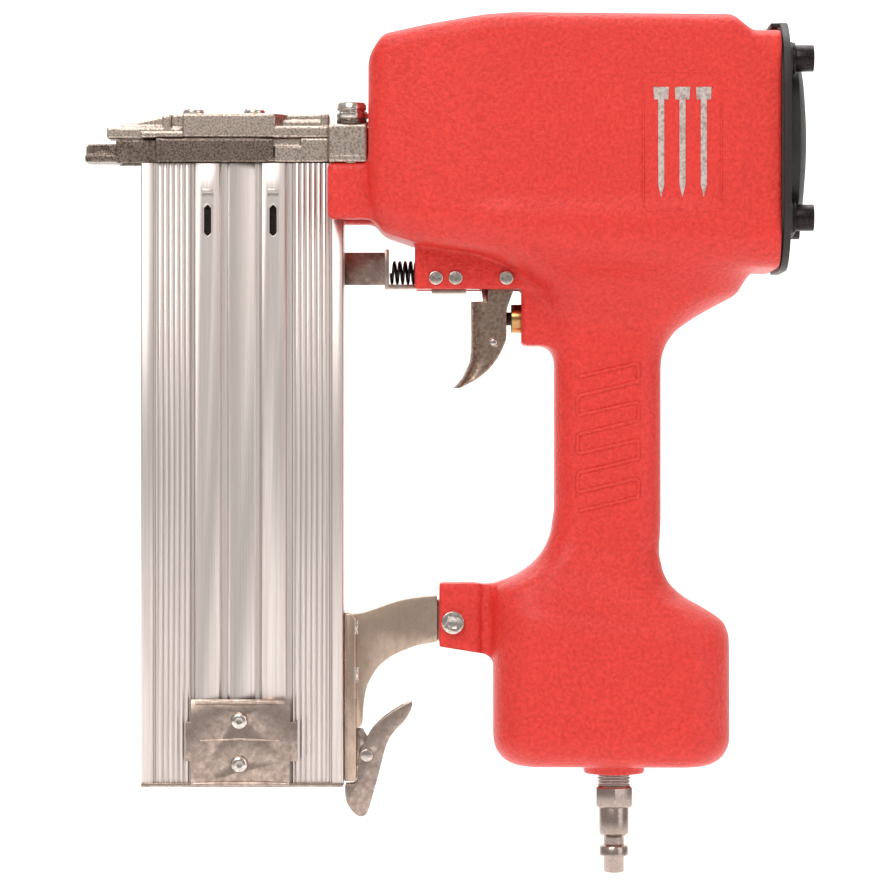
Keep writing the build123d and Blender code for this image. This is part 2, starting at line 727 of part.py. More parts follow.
def valve_spring():
    return coil(3.2, 0.7, 1.3, 5.8, (189.9, 0, VALVE_Z), "X")


def valve_retainer():
    return tube_x(196.3, 197.5, 4.38, 1.8, z=VALVE_Z)


# ---------------------------------------------------------------- air inlet


def air_plug():
    plug = rod_z(-263.3, -249.0, 6.85, INLET_X)
    hexagon = Plane.XY.offset(-272.1) * Pos(INLET_X, 0) * RegularPolygon(8.45, 6, rotation=30)
    plug += extrude(hexagon, amount=8.9, dir=(0, 0, 1))
    plug += rod_z(-282.3, -272.0, 6.1, INLET_X)
    plug += Pos(INLET_X, 0, -283.2) * Cone(4.2, 6.1, 1.8)
    plug += rod_z(-288.0, -284.0, 4.2, INLET_X)
    plug += rod_z(-292.1, -287.7, 5.9, INLET_X)
    plug += rod_z(-298.9, -292.0, 4.2, INLET_X)
    return plug - rod_z(-300.0, -248.0, 2.8, INLET_X)


NODES = {
    "housing": housing,
    "cylinder_sleeve": cylinder_sleeve,
    "sleeve_o_ring": lambda: o_ring_x(173.0, 25.3, 1.05),
    "bumper": bumper,
    "piston": piston,
    "piston_ring": piston_ring,
    "driver_blade": driver_blade,
    "cylinder_cap": cylinder_cap,
    "cap_gasket": cap_gasket,
    "cap_bolts": cap_bolts,
    "cap_washers": cap_washers,
    "head_valve": head_valve,
    "head_valve_seal": lambda: o_ring_x(272.7, 28.6, 0.9),
    "head_valve_spring": head_valve_spring,
    "nose_guide": nose_guide,
    "nose_cover": nose_cover,
    "nose_cover_screws": nose_cover_screws,
    "nose_bolts": nose_bolts,
    "nose_bolt_washers": nose_bolt_washers,
    "rail_screws": rail_screws,
    "magazine_rail": magazine_rail,
    "magazine_cover": magazine_cover,
    "magazine_end_plate": magazine_end_plate,
    "end_plate_screws": end_plate_screws,
    "pusher": pusher,
    "pusher_rod": pusher_rod,
    "pusher_spring": pusher_spring,
    "magazine_bracket": magazine_bracket,
    "bracket_screw": bracket_screw,
    "bracket_nut": bracket_nut,
    "latch_lever": latch_lever,
    "latch_pin": latch_pin,
    "latch_spring": latch_spring,
    "safety_contact": safety_contact,
    "safety_link": safety_link,
    "safety_spring": safety_spring,
    "retaining_clip": retaining_clip,
    "guide_pins": guide_pins,
    "pin_clips": pin_clips,
    "trigger": trigger,
    "trigger_lever": trigger_lever,
    "lever_pin": lever_pin,
    "trigger_pin": trigger_pin,
    "trigger_spring": trigger_spring,
    "valve_body": valve_body,
    "valve_o_rings": valve_o_rings,
    "valve_stem": valve_stem,
    "valve_spring": valve_spring,
    "valve_retainer": valve_retainer,
    "air_plug": air_plug,
}

os.makedirs("parts", exist_ok=True)
for name, make in NODES.items():
    export_step(make(), f"parts/{name}.step")
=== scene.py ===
import math

import bmesh
import bpy
import numpy as np
from mathutils import Matrix, Vector


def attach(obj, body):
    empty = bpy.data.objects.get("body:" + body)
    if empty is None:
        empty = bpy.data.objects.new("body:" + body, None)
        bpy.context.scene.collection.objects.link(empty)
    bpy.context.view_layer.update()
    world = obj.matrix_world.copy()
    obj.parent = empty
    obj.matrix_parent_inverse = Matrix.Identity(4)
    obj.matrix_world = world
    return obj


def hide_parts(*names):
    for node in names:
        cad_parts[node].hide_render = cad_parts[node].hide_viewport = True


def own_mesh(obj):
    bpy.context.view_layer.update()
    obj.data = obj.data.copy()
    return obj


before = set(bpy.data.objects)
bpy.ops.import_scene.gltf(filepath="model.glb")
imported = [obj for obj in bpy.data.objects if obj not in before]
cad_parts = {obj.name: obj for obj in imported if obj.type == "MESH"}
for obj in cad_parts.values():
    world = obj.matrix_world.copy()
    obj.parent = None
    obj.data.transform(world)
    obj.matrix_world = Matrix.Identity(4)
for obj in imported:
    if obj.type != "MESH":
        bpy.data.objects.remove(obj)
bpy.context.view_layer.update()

# ---------------------------------------------------------------- studio
# A plain pale floor that curves up into a wall behind the tool, which is held in the air. A big
# soft light stands at the front left, a weaker one at the right, and one above draws the edges.


def add_node(tree, kind, inputs=None, **settings):
    """Adds a node. inputs maps a socket to a value, or to another node's output to link."""
    node = tree.nodes.new(kind)
    for name, value in settings.items():
        setattr(node, name, value)
    for socket, value in (inputs or {}).items():
        if isinstance(value, bpy.types.NodeSocket):
            tree.links.new(value, node.inputs[socket])
        else:
            node.inputs[socket].default_value = value
    return node


def hex_colour(code):
    """sRGB hex to the linear colour that a shader socket takes."""
    channels = [int(code[i : i + 2], 16) / 255 for i in (0, 2, 4)]
    linear = [c / 12.92 if c <= 0.04045 else ((c + 0.055) / 1.055) ** 2.4 for c in channels]
    return (*linear, 1.0)


def finish(name, **shader):
    """A material with constant values on its shader's sockets: returns it with tree and shader."""
    material = bpy.data.materials.new(name)
    material.use_nodes = True
    principled = material.node_tree.nodes["Principled BSDF"]
    for socket, value in shader.items():
        principled.inputs[socket.replace("_", " ")].default_value = value
    return material, material.node_tree, principled


def soft_light(name, place, target, size, watts, colour):
    lamp = bpy.data.lights.new(name, "AREA")
    lamp.shape = "RECTANGLE"
    lamp.size, lamp.size_y = size
    lamp.energy = watts
    lamp.color = hex_colour(colour)[:3]
    holder = bpy.data.objects.new(name, lamp)
    holder.location = place
    aim = Vector(target) - Vector(place)
    holder.rotation_euler = aim.to_track_quat("-Z", "Y").to_euler()
    bpy.context.collection.objects.link(holder)


FLOOR_Z = -0.5
profile = [(-4.0, FLOOR_Z), (1.6, FLOOR_Z)]
for step in range(1, 13):
    bend = math.radians(7.5 * step)
    profile.append((1.6 + math.sin(bend), FLOOR_Z + 1.0 - math.cos(bend)))
profile.append((2.6, 3.0))
cove_mesh = bpy.data.meshes.new("cove")
cove_mesh.from_pydata(
    [(x, y, z) for x in (-5, 5) for y, z in profile],
    [],
    [(i, i + len(profile), i + 1 + len(profile), i + 1) for i in range(len(profile) - 1)],
)
cove_mesh.shade_smooth()
cove = bpy.data.objects.new("cove", cove_mesh)
bpy.context.collection.objects.link(cove)
cove_paint, _, _ = finish("pale_cove_paint", Base_Color=hex_colour("f6f5f4"), Roughness=0.9)
cove_mesh.materials.append(cove_paint)

CENTRE = (0.1476, 0.0, -0.1246)
soft_light("key", (-0.45, -1.45, 1.15), CENTRE, (1.3, 1.3), 21, "fffaf5")
soft_light("fill", (1.5, -1.0, 0.3), CENTRE, (1.0, 1.4), 5, "fffdfb")
soft_light("top", (0.2, 0.2, 1.3), CENTRE, (1.4, 0.8), 10, "ffffff")
soft_light("backdrop", (0.0, 1.0, 1.9), (0.0, 2.4, -0.2), (3.0, 1.0), 60, "ffffff")

world = bpy.data.worlds.new("studio")
bpy.context.scene.world = world
world.use_nodes = True
sky = world.node_tree
sky_place = add_node(sky, "ShaderNodeTexCoord").outputs["Generated"]
height = add_node(sky, "ShaderNodeSeparateXYZ", {0: sky_place}).outputs["Z"]
room = add_node(sky, "ShaderNodeMapRange", {"Value": height, 1: -0.35, 2: 0.55, 3: 0.13, 4: 0.62})
seen = add_node(sky, "ShaderNodeLightPath").outputs["Is Camera Ray"]
tone = add_node(sky, "ShaderNodeMix", {0: seen, 2: room.outputs[0], 3: 1.0}, data_type="FLOAT")
sky_light = sky.nodes["Background"]
sky_light.inputs["Color"].default_value = hex_colour("fffdfa")
sky.links.new(tone.outputs[0], sky_light.inputs["Strength"])

VIEW_DISTANCE = 1.6
VIEW_WIDTH = 0.3665
camera_data = bpy.data.cameras.new("camera")
camera_data.lens = 36.0 * VIEW_DISTANCE / VIEW_WIDTH
camera = bpy.data.objects.new("camera", camera_data)
camera.location = (CENTRE[0], -VIEW_DISTANCE, CENTRE[2])
camera.rotation_euler = (math.radians(90), 0, 0)
bpy.context.collection.objects.link(camera)
bpy.context.scene.camera = camera
bpy.context.scene.view_settings.view_transform = "Standard"

# ---------------------------------------------------------------- housing
# One aluminium die casting for the barrel, trigger lug, handle, tank and bracket ear, sprayed with
# a thick red enamel that rounds every edge and dries with an orange-peel skin.

MM = 0.001


def new_piece(name, vertices, faces, material, edges=()):
    """A mesh object in place, from points in millimetres."""
    mesh = bpy.data.meshes.new(name)
    mesh.from_pydata([tuple(MM * c for c in v) for v in vertices], edges, faces)
    mesh.validate()
    mesh.materials.append(material)
    piece = bpy.data.objects.new(name, mesh)
    bpy.context.collection.objects.link(piece)
    return piece


def along(t, points, soft=2.5):
    """A line through points, read at t, with its corners eased over a few millimetres."""
    xs, ys = zip(*points)
    grid = np.arange(xs[0] - 20, xs[-1] + 20, 0.5)
    reach = np.arange(-8, 9) * soft / 2.5
    weight = np.exp(-0.5 * (reach / soft) ** 2)
    spread = np.pad(np.interp(grid, xs, ys), 8, mode="edge")
    eased = np.convolve(spread, weight / weight.sum(), mode="valid")
    return np.interp(t, grid, eased)


def joined(a, b, fillet):
    """Union of two distances with a fillet where they meet."""
    near = np.maximum(fillet - np.abs(a - b), 0) / fillet
    return np.minimum(a, b) - near * near * fillet / 4


def common(a, b, round_edge):
    """What two distances share, with its edge rounded."""
    return -joined(-a, -b, round_edge)


def block(x, y, z, low, high, edge=0.5):
    """Distance to a box between two corners, with rounded edges."""
    outside = [
        np.abs(c - (l + h) / 2) - (h - l) / 2 + edge for c, l, h in zip((x, y, z), low, high)
    ]
    far = np.sqrt(sum(np.maximum(c, 0) ** 2 for c in outside))
    return far + np.minimum(np.maximum(np.maximum(*outside[:2]), outside[2]), 0) - edge


def bar(a, b, along_axis, centre, radius, low, high, edge=0.4):
    """Distance to a round bar: a and b are measured across it, along_axis down its length."""
    across = np.hypot(a - centre[0], b - centre[1]) - radius
    return common(across, np.abs(along_axis - (low + high) / 2) - (high - low) / 2, edge)


def rounded_section(a, b, half_a, half_b, corner):
    """Distance to a rounded rectangle about the origin of a and b."""
    qa = np.abs(a) - (half_a - corner)
    qb = np.abs(b) - (half_b - corner)
    outside = np.hypot(np.maximum(qa, 0), np.maximum(qb, 0))
    return outside + np.minimum(np.maximum(qa, qb), 0) - corner


def solid_from(name, distance, low, high, step, material):
    """Closed mesh of where distance is below zero, in millimetres: a vertex in each grid cell that
    the surface crosses, drawn onto the surface, and a quad across each crossed grid edge."""
    axes = [np.arange(l, h + step, step) for l, h in zip(low, high)]
    inside = distance(*np.meshgrid(*axes, indexing="ij")) < 0
    size = [len(a) - 1 for a in axes]
    corners = [(i, j, k) for i in (0, 1) for j in (0, 1) for k in (0, 1)]
    count = sum(
        inside[i : size[0] + i, j : size[1] + j, k : size[2] + k].astype(np.int8)
        for i, j, k in corners
    )
    crossed = (count > 0) & (count < 8)
    number = np.full(size, -1)
    number[crossed] = np.arange(crossed.sum())
    cells = np.argwhere(crossed)
    start = np.stack([axes[i][cells[:, i]] + step / 2 for i in range(3)], 1)
    points = start.copy()
    probe = 0.1 * step
    for _ in range(8):
        slope = np.stack(
            [distance(*(points + e).T) - distance(*(points - e).T) for e in np.eye(3) * probe], 1
        ) / (2 * probe)
        steep = np.maximum((slope**2).sum(1), 0.05)
        points -= slope * (distance(*points.T) / steep)[:, None]
        points = np.clip(points, start - 0.7 * step, start + 0.7 * step)
    quads = []
    for a in range(3):
        b, c = (a + 1) % 3, (a + 2) % 3
        here = np.moveaxis(inside, (a, b, c), (0, 1, 2))
        cell = np.moveaxis(number, (a, b, c), (0, 1, 2))
        i, j, k = np.nonzero(here[:-1, 1:-1, 1:-1] != here[1:, 1:-1, 1:-1])
        ring = [cell[i, j, k], cell[i, j + 1, k], cell[i, j + 1, k + 1], cell[i, j, k + 1]]
        outward = here[:-1, 1:-1, 1:-1][i, j, k]
        quads.append(np.where(outward[:, None], np.stack(ring, 1), np.stack(ring[::-1], 1)))
    piece = new_piece(name, points.tolist(), np.concatenate(quads).tolist(), material)
    piece.data.shade_smooth()
    return piece


def settled(piece):
    """Applies the modifiers on a piece, and leaves a plain mesh."""
    graph = bpy.context.evaluated_depsgraph_get()
    mesh = bpy.data.meshes.new_from_object(piece.evaluated_get(graph), depsgraph=graph)
    piece.modifiers.clear()
    piece.data = mesh
    return piece


def cut_by(piece, *tools):
    """Cuts the shapes of the tools out of a piece, and removes the tools."""
    for tool in tools:
        saw = piece.modifiers.new("cut", "BOOLEAN")
        saw.operation = "DIFFERENCE"
        saw.solver = "EXACT"
        saw.object = tool
        settled(piece)
        bpy.data.objects.remove(tool)
    return piece


def fitted(piece, body, slot, *nodes):
    """The piece rides on a body and stands for the nodes named. slot is not used."""
    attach(piece, body)
    if nodes:
        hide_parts(*nodes)
    return piece


def red_enamel():
    """Sprayed enamel on a die casting: glossy, with a skin that runs in 1.5 mm dimples and
    fine specks where it thins, so highlights break up and the red varies a little."""
    material, tree, shader = finish(
        "orange_peel_enamel", Roughness=0.4, IOR=1.4, Coat_Weight=0.08, Coat_Roughness=0.2
    )
    place = add_node(tree, "ShaderNodeTexCoord").outputs["Object"]
    dimples = add_node(
        tree, "ShaderNodeTexNoise", {"Vector": place, "Scale": 620, "Detail": 2.5, "Roughness": 0.6}
    )
    specks = add_node(
        tree, "ShaderNodeTexNoise", {"Vector": place, "Scale": 1500, "Detail": 3, "Roughness": 0.7}
    )
    thin = add_node(tree, "ShaderNodeTexNoise", {"Vector": place, "Scale": 45, "Detail": 3})
    tint = add_node(tree, "ShaderNodeValToRGB", {"Fac": dimples.outputs["Fac"]})
    tint.color_ramp.elements[0].position = 0.30
    tint.color_ramp.elements[0].color = hex_colour("ca2c26")
    tint.color_ramp.elements[1].position = 0.68
    tint.color_ramp.elements[1].color = hex_colour("e13c33")
    broad = add_node(tree, "ShaderNodeMapRange", {"Value": thin.outputs["Fac"], 3: 0.93, 4: 1.06})
    colour = add_node(
        tree, "ShaderNodeMix", {0: 1.0, 6: tint.outputs["Color"]}, data_type="RGBA", blend_type="MULTIPLY"
    )
    tree.links.new(broad.outputs[0], colour.inputs[7])
    tree.links.new(colour.outputs[2], shader.inputs["Base Color"])
    grain = add_node(
        tree, "ShaderNodeBump", {"Strength": 0.35, "Distance": 0.0004, "Height": specks.outputs["Fac"]}
    )
    peel = add_node(
        tree,
        "ShaderNodeBump",
        {
            "Strength": 0.75,
            "Distance": 0.0007,
            "Height": dimples.outputs["Fac"],
            "Normal": grain.outputs["Normal"],
        },
    )
    tree.links.new(peel.outputs["Normal"], shader.inputs["Normal"])
    return material


enamel = red_enamel()

BARREL_FRONT, BARREL_REAR = 115.8, 281.3
BARREL_TOP = [
    (115.8, 36.5), (122, 41.8), (140, 45.3), (163, 48.8), (175, 49.6), (262, 48.8), (270, 42.6),
    (283, 42.6),
]
BARREL_BOTTOM = [(115.8, -33), (121, -37.5), (134.5, -42), (170, -47), (205, -52.5), (283, -52.5)]
BARREL_WIDTH = [(115.8, 34), (135, 38.5), (160, 43), (175, 43.6), (263, 43.6), (271, 41.5), (283, 41.5)]
STEM_FRONT = [
    (-254.6, 168), (-246, 166.5), (-185, 166.5), (-181, 168), (-178.8, 172), (-176, 177.8),
    (-171, 184), (-166, 187.6), (-160, 190), (-150, 191.5), (-92, 191.5), (-72, 190), (-60, 186),
    (-52, 176), (-44, 160), (-35, 150),
]
STEM_REAR = [
    (-254.6, 261.5), (-246, 262.6), (-201, 262.6), (-195.6, 260.6), (-190.7, 253.4), (-186, 244.5),
    (-181, 238.8), (-176, 236), (-168, 234.2), (-155, 234.9), (-92, 234.9), (-87, 235.4),
    (-82, 237.3), (-76.7, 241.3), (-71.3, 249.3), (-66.8, 257.5), (-62.7, 265.5), (-57, 268.6),
    (-52, 269.8), (-35, 269.8),
]
STEM_WIDTH = [
    (-254.6, 29), (-246, 31), (-199, 31), (-193, 30), (-184, 24.5), (-174, 20), (-163, 17.8),
    (-150, 17.5), (-92, 17.5), (-80, 17.8), (-73, 19), (-44, 40.5), (-36, 43),
]
STEM_CORNER = [
    (-254.6, 20), (-195, 21), (-176, 14), (-160, 12), (-92, 12), (-76, 13), (-60, 18), (-40, 22),
]


def housing_distance(x, y, z):
    side = np.abs(y)
    top = along(x, BARREL_TOP)
    bottom = along(x, BARREL_BOTTOM)
    middle = (top + bottom) / 2
    corner = 10.5 + 4.0 * np.clip((middle - z) / 12, -1, 1)
    barrel = rounded_section(side, z - middle, along(x, BARREL_WIDTH), (top - bottom) / 2, corner)
    barrel = common(barrel, BARREL_FRONT - x, 9.0)
    barrel = common(barrel, x - BARREL_REAR, 0.8)
    level = z + 0.18 * np.clip(x - 191.5, 0, 80) * np.clip((-150 - z) / 30, 0, 1)
    front = along(z, STEM_FRONT, 1.6)
    rear = along(z, STEM_REAR, 1.6)
    width = along(level, STEM_WIDTH)
    corner = np.minimum(along(z, STEM_CORNER), width - 1)
    stem = rounded_section(x - (front + rear) / 2, side, (rear - front) / 2, width, corner)
    stem = common(stem, -254.6 - z, 13.0)
    stem = common(stem, z + 30, 6.0)
    body = joined(barrel, stem, 7.0)
    valve_block = block(x, side, z, (178, -13, -83.2), (204, 13, -48), 2.0)
    body = joined(body, valve_block, 7.0)
    lug = block(x, side, z, (134.5, -14, -60.3), (197, 14, -36), 0.9)
    body = joined(body, lug, 1.2)
    ear = block(x, side, z, (144.4, -8.8, -212), (161.3, 8.8, -180.2), 1.0)
    ear = joined(ear, block(x, side, z, (152, -7.6, -212), (175, 7.6, -180.6), 1.0), 0.8)
    lower_edge = -206.2 - 0.16 * (x - 145.0) - z
    body = joined(body, common(ear, lower_edge, 0.8), 5.0)
    ledge = block(x, side, z, (99.3, 15, -32.4), (128, 26, -9.6), 2.6)
    body = joined(body, ledge, 3.0)
    boss = bar(x, y, z, (216, 0), 12.6, -258.3, -248, 1.6)
    return joined(body, boss, 2.0)


def cutter(low, high):
    """A plain box between two corners, used only to cut."""
    xs, ys, zs = zip(low, high)
    corners = [(x, y, z) for x in xs for y in ys for z in zs]
    faces = [(0, 1, 3, 2), (4, 6, 7, 5), (0, 4, 5, 1), (2, 3, 7, 6), (0, 2, 6, 4), (1, 5, 7, 3)]
    return new_piece("cutter", corners, faces, enamel)


def turned(name, profile, origin, direction, material, segments=48, turn=0.0):
    """A lathe-turned shape. profile is (radius, height) from one pole to the other."""
    swing = Vector(direction).to_track_quat("Z", "Y").to_matrix()
    vertices, rings = [], []
    for radius, height in profile:
        steps = 1 if radius < 1e-6 else segments
        ring = []
        for s in range(steps):
            angle = turn + 2 * math.pi * s / segments
            point = Vector((radius * math.cos(angle), radius * math.sin(angle), height))
            ring.append(len(vertices))
            vertices.append(tuple(Vector(origin) + swing @ point))
        rings.append(ring)
    faces = []
    for low, high in zip(rings, rings[1:]):
        for s in range(segments):
            a, b = low[s % len(low)], low[(s + 1) % len(low)]
            c, d = high[(s + 1) % len(high)], high[s % len(high)]
            faces.append(tuple(dict.fromkeys((a, b, c, d))))
    piece = facing_out(new_piece(name, vertices, [f for f in faces if len(f) > 2], material))
    smooth_faces(piece)
    return piece


def facing_out(piece):
    """Turns every face of a closed piece outward."""
    shell = bmesh.new()
    shell.from_mesh(piece.data)
    bmesh.ops.recalc_face_normals(shell, faces=shell.faces)
    shell.to_mesh(piece.data)
    shell.free()
    return piece


def smooth_faces(piece, angle=35):
    """Smooth shading across gentle edges only."""
    piece.data.shade_smooth()
    piece.data.set_sharp_from_angle(angle=math.radians(angle))


housing = solid_from("housing_casting", housing_distance, (97, -47, -261), (284, 47, 52), 1.4, enamel)
cut_by(
    housing,
    cutter((133, -6.4, -62), (141.2, 6.4, -57.9)),
    cutter((141.0, -8.2, -62), (157.5, 8.2, -52.6)),
    cutter((157.0, -8.6, -62), (177.9, 8.6, -48.5)),
    turned("cutter", [(0, 0), (5.3, 0), (5.3, 8), (0, 8)], (132.6, 0, -53.2), (1, 0, 0), enamel),
    turned("cutter", [(0, 0), (5.95, 0), (5.95, 12), (0, 12)], (172, 0, -72.1), (1, 0, 0), enamel),
    cutter((140, -2.1, -216), (158.5, 2.1, -176)),
    turned("cutter", [(0, 0), (32, 0), (32, 106), (0, 106)], (177, 0, 0), (1, 0, 0), enamel),
)
housing.data.shade_smooth()
fitted(housing, "root", "painted_die_casting", "housing")


def read_point(x, z):
    """The point of the housing's near side seen straight on at x and z, in millimetres."""
    hit, place, _, _ = housing.ray_cast((MM * x, -0.08, MM * z), (0, 1, 0))
    return (x, place[1] / MM if hit else -40.0, z)


def node_tree(name, inputs):
    """A Geometry Nodes tree with named inputs. Returns the tree and its input node."""
    tree = bpy.data.node_groups.new(name, "GeometryNodeTree")
    face = tree.interface
    face.new_socket("Geometry", in_out="INPUT", socket_type="NodeSocketGeometry")
    for label, kind in inputs:
        face.new_socket(label, in_out="INPUT", socket_type="NodeSocket" + kind)
    face.new_socket("Geometry", in_out="OUTPUT", socket_type="NodeSocketGeometry")
    return tree, tree.nodes.new("NodeGroupInput")


def grown(piece, tree, **values):
    """Runs a Geometry Nodes tree on a piece with these inputs, and leaves the plain mesh."""
    growth = piece.modifiers.new("grow", "NODES")
    growth.node_group = tree
    for item in tree.interface.items_tree:
        if item.in_out == "INPUT" and item.name.replace(" ", "_") in values:
            growth[item.identifier] = values[item.name.replace(" ", "_")]
    settled(piece)
    smooth_faces(piece, 40)
    return piece


def bar_tree():
    """A round bar that follows the piece's own edges, with closed ends."""
    tree, given = node_tree(
        "bar_along_edges", [("Radius", "Float"), ("Round Corners", "Float"), ("Finish", "Material")]
    )
    line = add_node(tree, "GeometryNodeMeshToCurve", {"Mesh": given.outputs["Geometry"]})
    bend = add_node(
        tree,
        "GeometryNodeFilletCurve",
        {"Curve": line.outputs[0], "Radius": given.outputs["Round Corners"], "Limit Radius": True},
        mode="POLY",
    )
    bend.inputs["Count"].default_value = 5
    ring = add_node(
        tree, "GeometryNodeCurvePrimitiveCircle", {"Resolution": 10, "Radius": given.outputs["Radius"]}
    )
    skin = add_node(
        tree,
        "GeometryNodeCurveToMesh",
        {"Curve": bend.outputs[0], "Profile Curve": ring.outputs[0], "Fill Caps": True},
    )
    plain = add_node(tree, "GeometryNodeRealizeInstances", {0: skin.outputs[0]})
    coat = add_node(
        tree, "GeometryNodeSetMaterial", {0: plain.outputs[0], "Material": given.outputs["Finish"]}
    )
    out = tree.nodes.new("NodeGroupOutput")
    tree.links.new(coat.outputs[0], out.inputs[0])
    return tree


BAR = bar_tree()


def raised_line(name, points, radius, material, closed=False, corners=1.0):
    """A round bar through points in millimetres."""
    count = len(points)
    edges = [(i, (i + 1) % count) for i in range(count if closed else count - 1)]
    piece = new_piece(name, points, [], material, edges)
    return grown(
        piece, BAR, Radius=radius * MM, Round_Corners=corners * MM, Finish=material
    )


# Grip ridges: a cast meander that climbs each side of the handle, and the raised line of a
# rounded label frame on each side of the barrel.

RIDGE_LEFT, RIDGE_RIGHT, RIDGE_TOP, RIDGE_PITCH = 200.6, 225.2, -90.5, 15.6


def meander():
    points = []
    for turn in range(4):
        top = RIDGE_TOP - turn * RIDGE_PITCH
        points += [
            (RIDGE_LEFT + 1, top - 5.5), (RIDGE_RIGHT, top + 0.0), (RIDGE_RIGHT, top - 7.6),
            (RIDGE_LEFT + 1, top - 13.2),
        ]
        points += [(RIDGE_LEFT, top - 14.2), (RIDGE_LEFT, top - 5.5 - RIDGE_PITCH)]
    return points[:-2]


def spread_out(points, step=1.6):
    """More points along straight runs, so that a line can follow a rounded surface."""
    filled = []
    for a, b in zip(points, points[1:]):
        count = max(1, round(math.dist(a, b) / step))
        filled += [(a[0] + (b[0] - a[0]) * i / count, a[1] + (b[1] - a[1]) * i / count) for i in range(count)]
    return filled + [points[-1]]


FRAME_LOW, FRAME_HIGH = (225.9, -30.5), (257.1, 25.1)


def rounded_frame(low, high, corner=3.2, steps=5):
    points = []
    for cx, cz, start in (
        (high[0] - corner, high[1] - corner, 0), (low[0] + corner, high[1] - corner, 90),
        (low[0] + corner, low[1] + corner, 180), (high[0] - corner, low[1] + corner, 270),
    ):
        for s in range(steps + 1):
            a = math.radians(start + 90 * s / steps)
            points.append((cx + corner * math.cos(a), cz + corner * math.sin(a)))
    return points


for side, face in ((1, "near"), (-1, "far")):
    ridge = [read_point(x, z) for x, z in spread_out(meander())]
    ridge = [(x, side * (y + 0.25), z) for x, y, z in ridge]
    fitted(raised_line(f"grip_ridges_{face}", ridge, 0.95, enamel), "root", "painted_die_casting")
    frame_line = [read_point(x, z) for x, z in rounded_frame(FRAME_LOW, FRAME_HIGH)]
    frame_line = [(x, side * (y + 0.12), z) for x, y, z in frame_line]
    fitted(
        raised_line(f"label_frame_{face}", frame_line, 0.4, enamel, closed=True, corners=0.2),
        "root",
        "painted_die_casting",
    )

# ---------------------------------------------------------------- nail pictogram
# Three nails in silver paint, rubbed onto a pad in the label frame, so it takes the skin's dimples.


def silver_paint():
    """Aluminium flake paint: a soft metallic grey with tiny pits where the skin shows."""
    material, tree, shader = finish("silver_flake_paint", Metallic=0.55, Roughness=0.42)
    place = add_node(tree, "ShaderNodeTexCoord").outputs["Object"]
    flake = add_node(tree, "ShaderNodeTexNoise", {"Vector": place, "Scale": 900, "Detail": 3})
    tint = add_node(tree, "ShaderNodeValToRGB", {"Fac": flake.outputs["Fac"]})
    tint.color_ramp.elements[0].position = 0.32
    tint.color_ramp.elements[0].color = hex_colour("a58f8a")
    tint.color_ramp.elements[1].position = 0.6
    tint.color_ramp.elements[1].color = hex_colour("d2c8c4")
    tree.links.new(tint.outputs["Color"], shader.inputs["Base Color"])
    grain = add_node(
        tree, "ShaderNodeBump", {"Strength": 0.5, "Distance": 0.0003, "Height": flake.outputs["Fac"]}
    )
    tree.links.new(grain.outputs["Normal"], shader.inputs["Normal"])
    return material


silver = silver_paint()
NAIL_MARKS = (233.0, 241.5, 250.0)


def raised_plate(name, outlines, lift, side, material):
    """Flat shapes laid on the housing's side: outlines in X and Z, each closed and convex."""
    vertices, faces = [], []
    for outline in outlines:
        start, count = len(vertices), len(outline)
        base = [read_point(x, z) for x, z in outline]
        for push in (0.3, -lift):
            vertices += [(x, side * (y + push), z) for x, y, z in base]
        for i in range(count):
            j = (i + 1) % count
            faces.append((start + i, start + j, start + count + j, start + count + i))
        faces.append(tuple(range(start, start + count)))
        faces.append(tuple(range(start + 2 * count - 1, start + count - 1, -1)))
    return facing_out(new_piece(name, vertices, faces, material))


for side, face in ((1, "near"), (-1, "far")):
    shapes = []
    for x in NAIL_MARKS:
        shapes.append([(x - 1.2, 14), (x + 1.2, 14), (x + 1.2, -20), (x, -25), (x - 1.2, -20)])
        shapes.append([(x - 3.1, 19), (x + 3.1, 19), (x + 2.8, 14), (x - 2.8, 14)])
    marks = raised_plate(f"nail_marks_{face}", shapes, 0.25, side, silver)
    fitted(marks, "root", "painted_die_casting")

# ---------------------------------------------------------------- cylinder cap
# Die-cast cap at the rear in black powder coat, over a fibre gasket, held by four black socket
# screws with spring washers. The powder dries pebbly, so its edges catch a broken grey line.


def mottled(
    name, dark, light, grain, relief, roughness, metallic=1.0, stretch=None, spread=(0.35, 0.65),
    swing=0.08, **shader_values
):
    """A finish whose colour and gloss wander between two values over patches of grain
    millimetres, with dents relief millimetres deep of the same size and finer ones over them."""
    material, tree, shader = finish(name, Metallic=metallic, **shader_values)
    place = add_node(tree, "ShaderNodeTexCoord").outputs["Object"]
    if stretch:
        place = add_node(tree, "ShaderNodeMapping", {"Vector": place, "Scale": stretch}).outputs[0]
    patches = add_node(
        tree, "ShaderNodeTexNoise", {"Vector": place, "Scale": 1000 / grain, "Detail": 4, "Roughness": 0.62}
    )
    tint = add_node(tree, "ShaderNodeValToRGB", {"Fac": patches.outputs["Fac"]})
    for element, place_on_ramp, code in zip(tint.color_ramp.elements, spread, (dark, light)):
        element.position = place_on_ramp
        element.color = hex_colour(code)
    tree.links.new(tint.outputs["Color"], shader.inputs["Base Color"])
    gloss = add_node(
        tree,
        "ShaderNodeMapRange",
        {"Value": patches.outputs["Fac"], 1: 0.3, 2: 0.7, 3: roughness + swing, 4: roughness - swing},
    )
    tree.links.new(gloss.outputs[0], shader.inputs["Roughness"])
    if relief:
        dents = add_node(
            tree,
            "ShaderNodeBump",
            {"Strength": 1.0, "Distance": relief * MM, "Height": patches.outputs["Fac"]},
        )
        tree.links.new(dents.outputs["Normal"], shader.inputs["Normal"])
    return material


